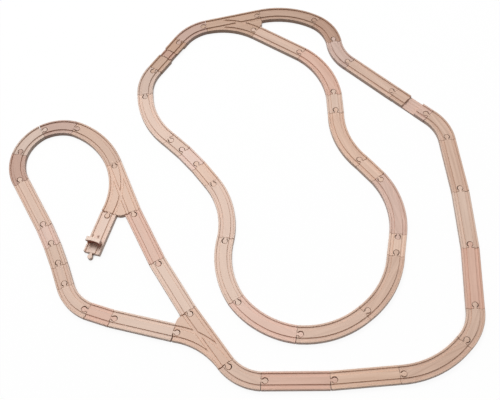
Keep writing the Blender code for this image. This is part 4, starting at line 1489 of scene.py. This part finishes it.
def add_key(stage):
    """One large soft lamp above and behind the layout."""
    lamp = bpy.data.lights.new("key", "AREA")
    lamp.shape = "DISK"
    lamp.size = KEY_SIZE
    lamp.energy = stage.key_power
    key = bpy.data.objects.new("key", lamp)
    back = np.array(KEY_PLACE) - np.array(KEY_TARGET)
    back /= np.linalg.norm(back)
    right = np.cross((0.0, 0.0, 1.0), back)
    right /= np.linalg.norm(right)
    key.matrix_world = placement(right, np.cross(back, right), back, KEY_PLACE)
    bpy.context.scene.collection.objects.link(key)


def add_camera(stage):
    """The camera in front of the layout, pitched down and rolled about its view."""
    pitch, roll = stage.camera_pitch, stage.camera_roll
    level = np.array((1.0, 0.0, 0.0))
    back = np.array((0.0, -math.cos(pitch), math.sin(pitch)))
    up = np.array((0.0, math.sin(pitch), math.cos(pitch)))
    right = math.cos(roll) * level - math.sin(roll) * up
    over = math.sin(roll) * level + math.cos(roll) * up
    data = bpy.data.cameras.new("camera")
    data.lens = stage.camera_lens
    data.sensor_width = SENSOR_WIDTH
    data.sensor_fit = "HORIZONTAL"
    camera = bpy.data.objects.new("camera", data)
    place = (stage.camera_aside, -stage.camera_back, stage.camera_height)
    camera.matrix_world = placement(right, over, back, place)
    bpy.context.scene.collection.objects.link(camera)
    bpy.context.scene.camera = camera


class RAILWAY_OT_stage(bpy.types.Operator):
    """Make the pale floor, the soft light and the camera"""

    bl_idname = "railway.stage"
    bl_label = "Stage"

    def execute(self, context):
        stage = settings().stage
        add_floor(stage)
        add_sky(stage)
        add_key(stage)
        add_camera(stage)
        context.scene.view_settings.view_transform = "Standard"
        return {"FINISHED"}


OPERATORS = (
    RAILWAY_OT_straights,
    RAILWAY_OT_shorts,
    RAILWAY_OT_large_curves,
    RAILWAY_OT_small_curves,
    RAILWAY_OT_switches,
    RAILWAY_OT_link_expander,
    RAILWAY_OT_pear_expander,
    RAILWAY_OT_spur,
    RAILWAY_OT_stage,
)


class RAILWAY_PT_sidebar(bpy.types.Panel):
    """Lists the operators that make the railway"""

    bl_label = "Railway"
    bl_idname = "RAILWAY_PT_sidebar"
    bl_space_type = "VIEW_3D"
    bl_region_type = "UI"
    bl_category = "Railway"

    def draw(self, context):
        for operator in OPERATORS:
            self.layout.operator(operator.bl_idname)


CLASSES = (
    RailwayBoards,
    RailwayConnectors,
    RailwayLengths,
    RailwayExpander,
    RailwayStop,
    RailwayWood,
    RailwayStage,
    RailwaySettings,
    *OPERATORS,
    RAILWAY_PT_sidebar,
)


def register():
    """Register the classes and give the scene its settings."""
    for item in CLASSES:
        bpy.utils.register_class(item)
    bpy.types.Scene.railway = PointerProperty(type=RailwaySettings)


def unregister():
    """Take the settings and the classes away again."""
    del bpy.types.Scene.railway
    for item in reversed(CLASSES):
        bpy.utils.unregister_class(item)


def main():
    """Make everything in order."""
    register()
    bpy.ops.railway.straights()
    bpy.ops.railway.shorts()
    bpy.ops.railway.large_curves()
    bpy.ops.railway.small_curves()
    bpy.ops.railway.switches()
    bpy.ops.railway.link_expander()
    bpy.ops.railway.pear_expander()
    bpy.ops.railway.spur()
    bpy.ops.railway.stage()


if __name__ == "__main__":
    main()
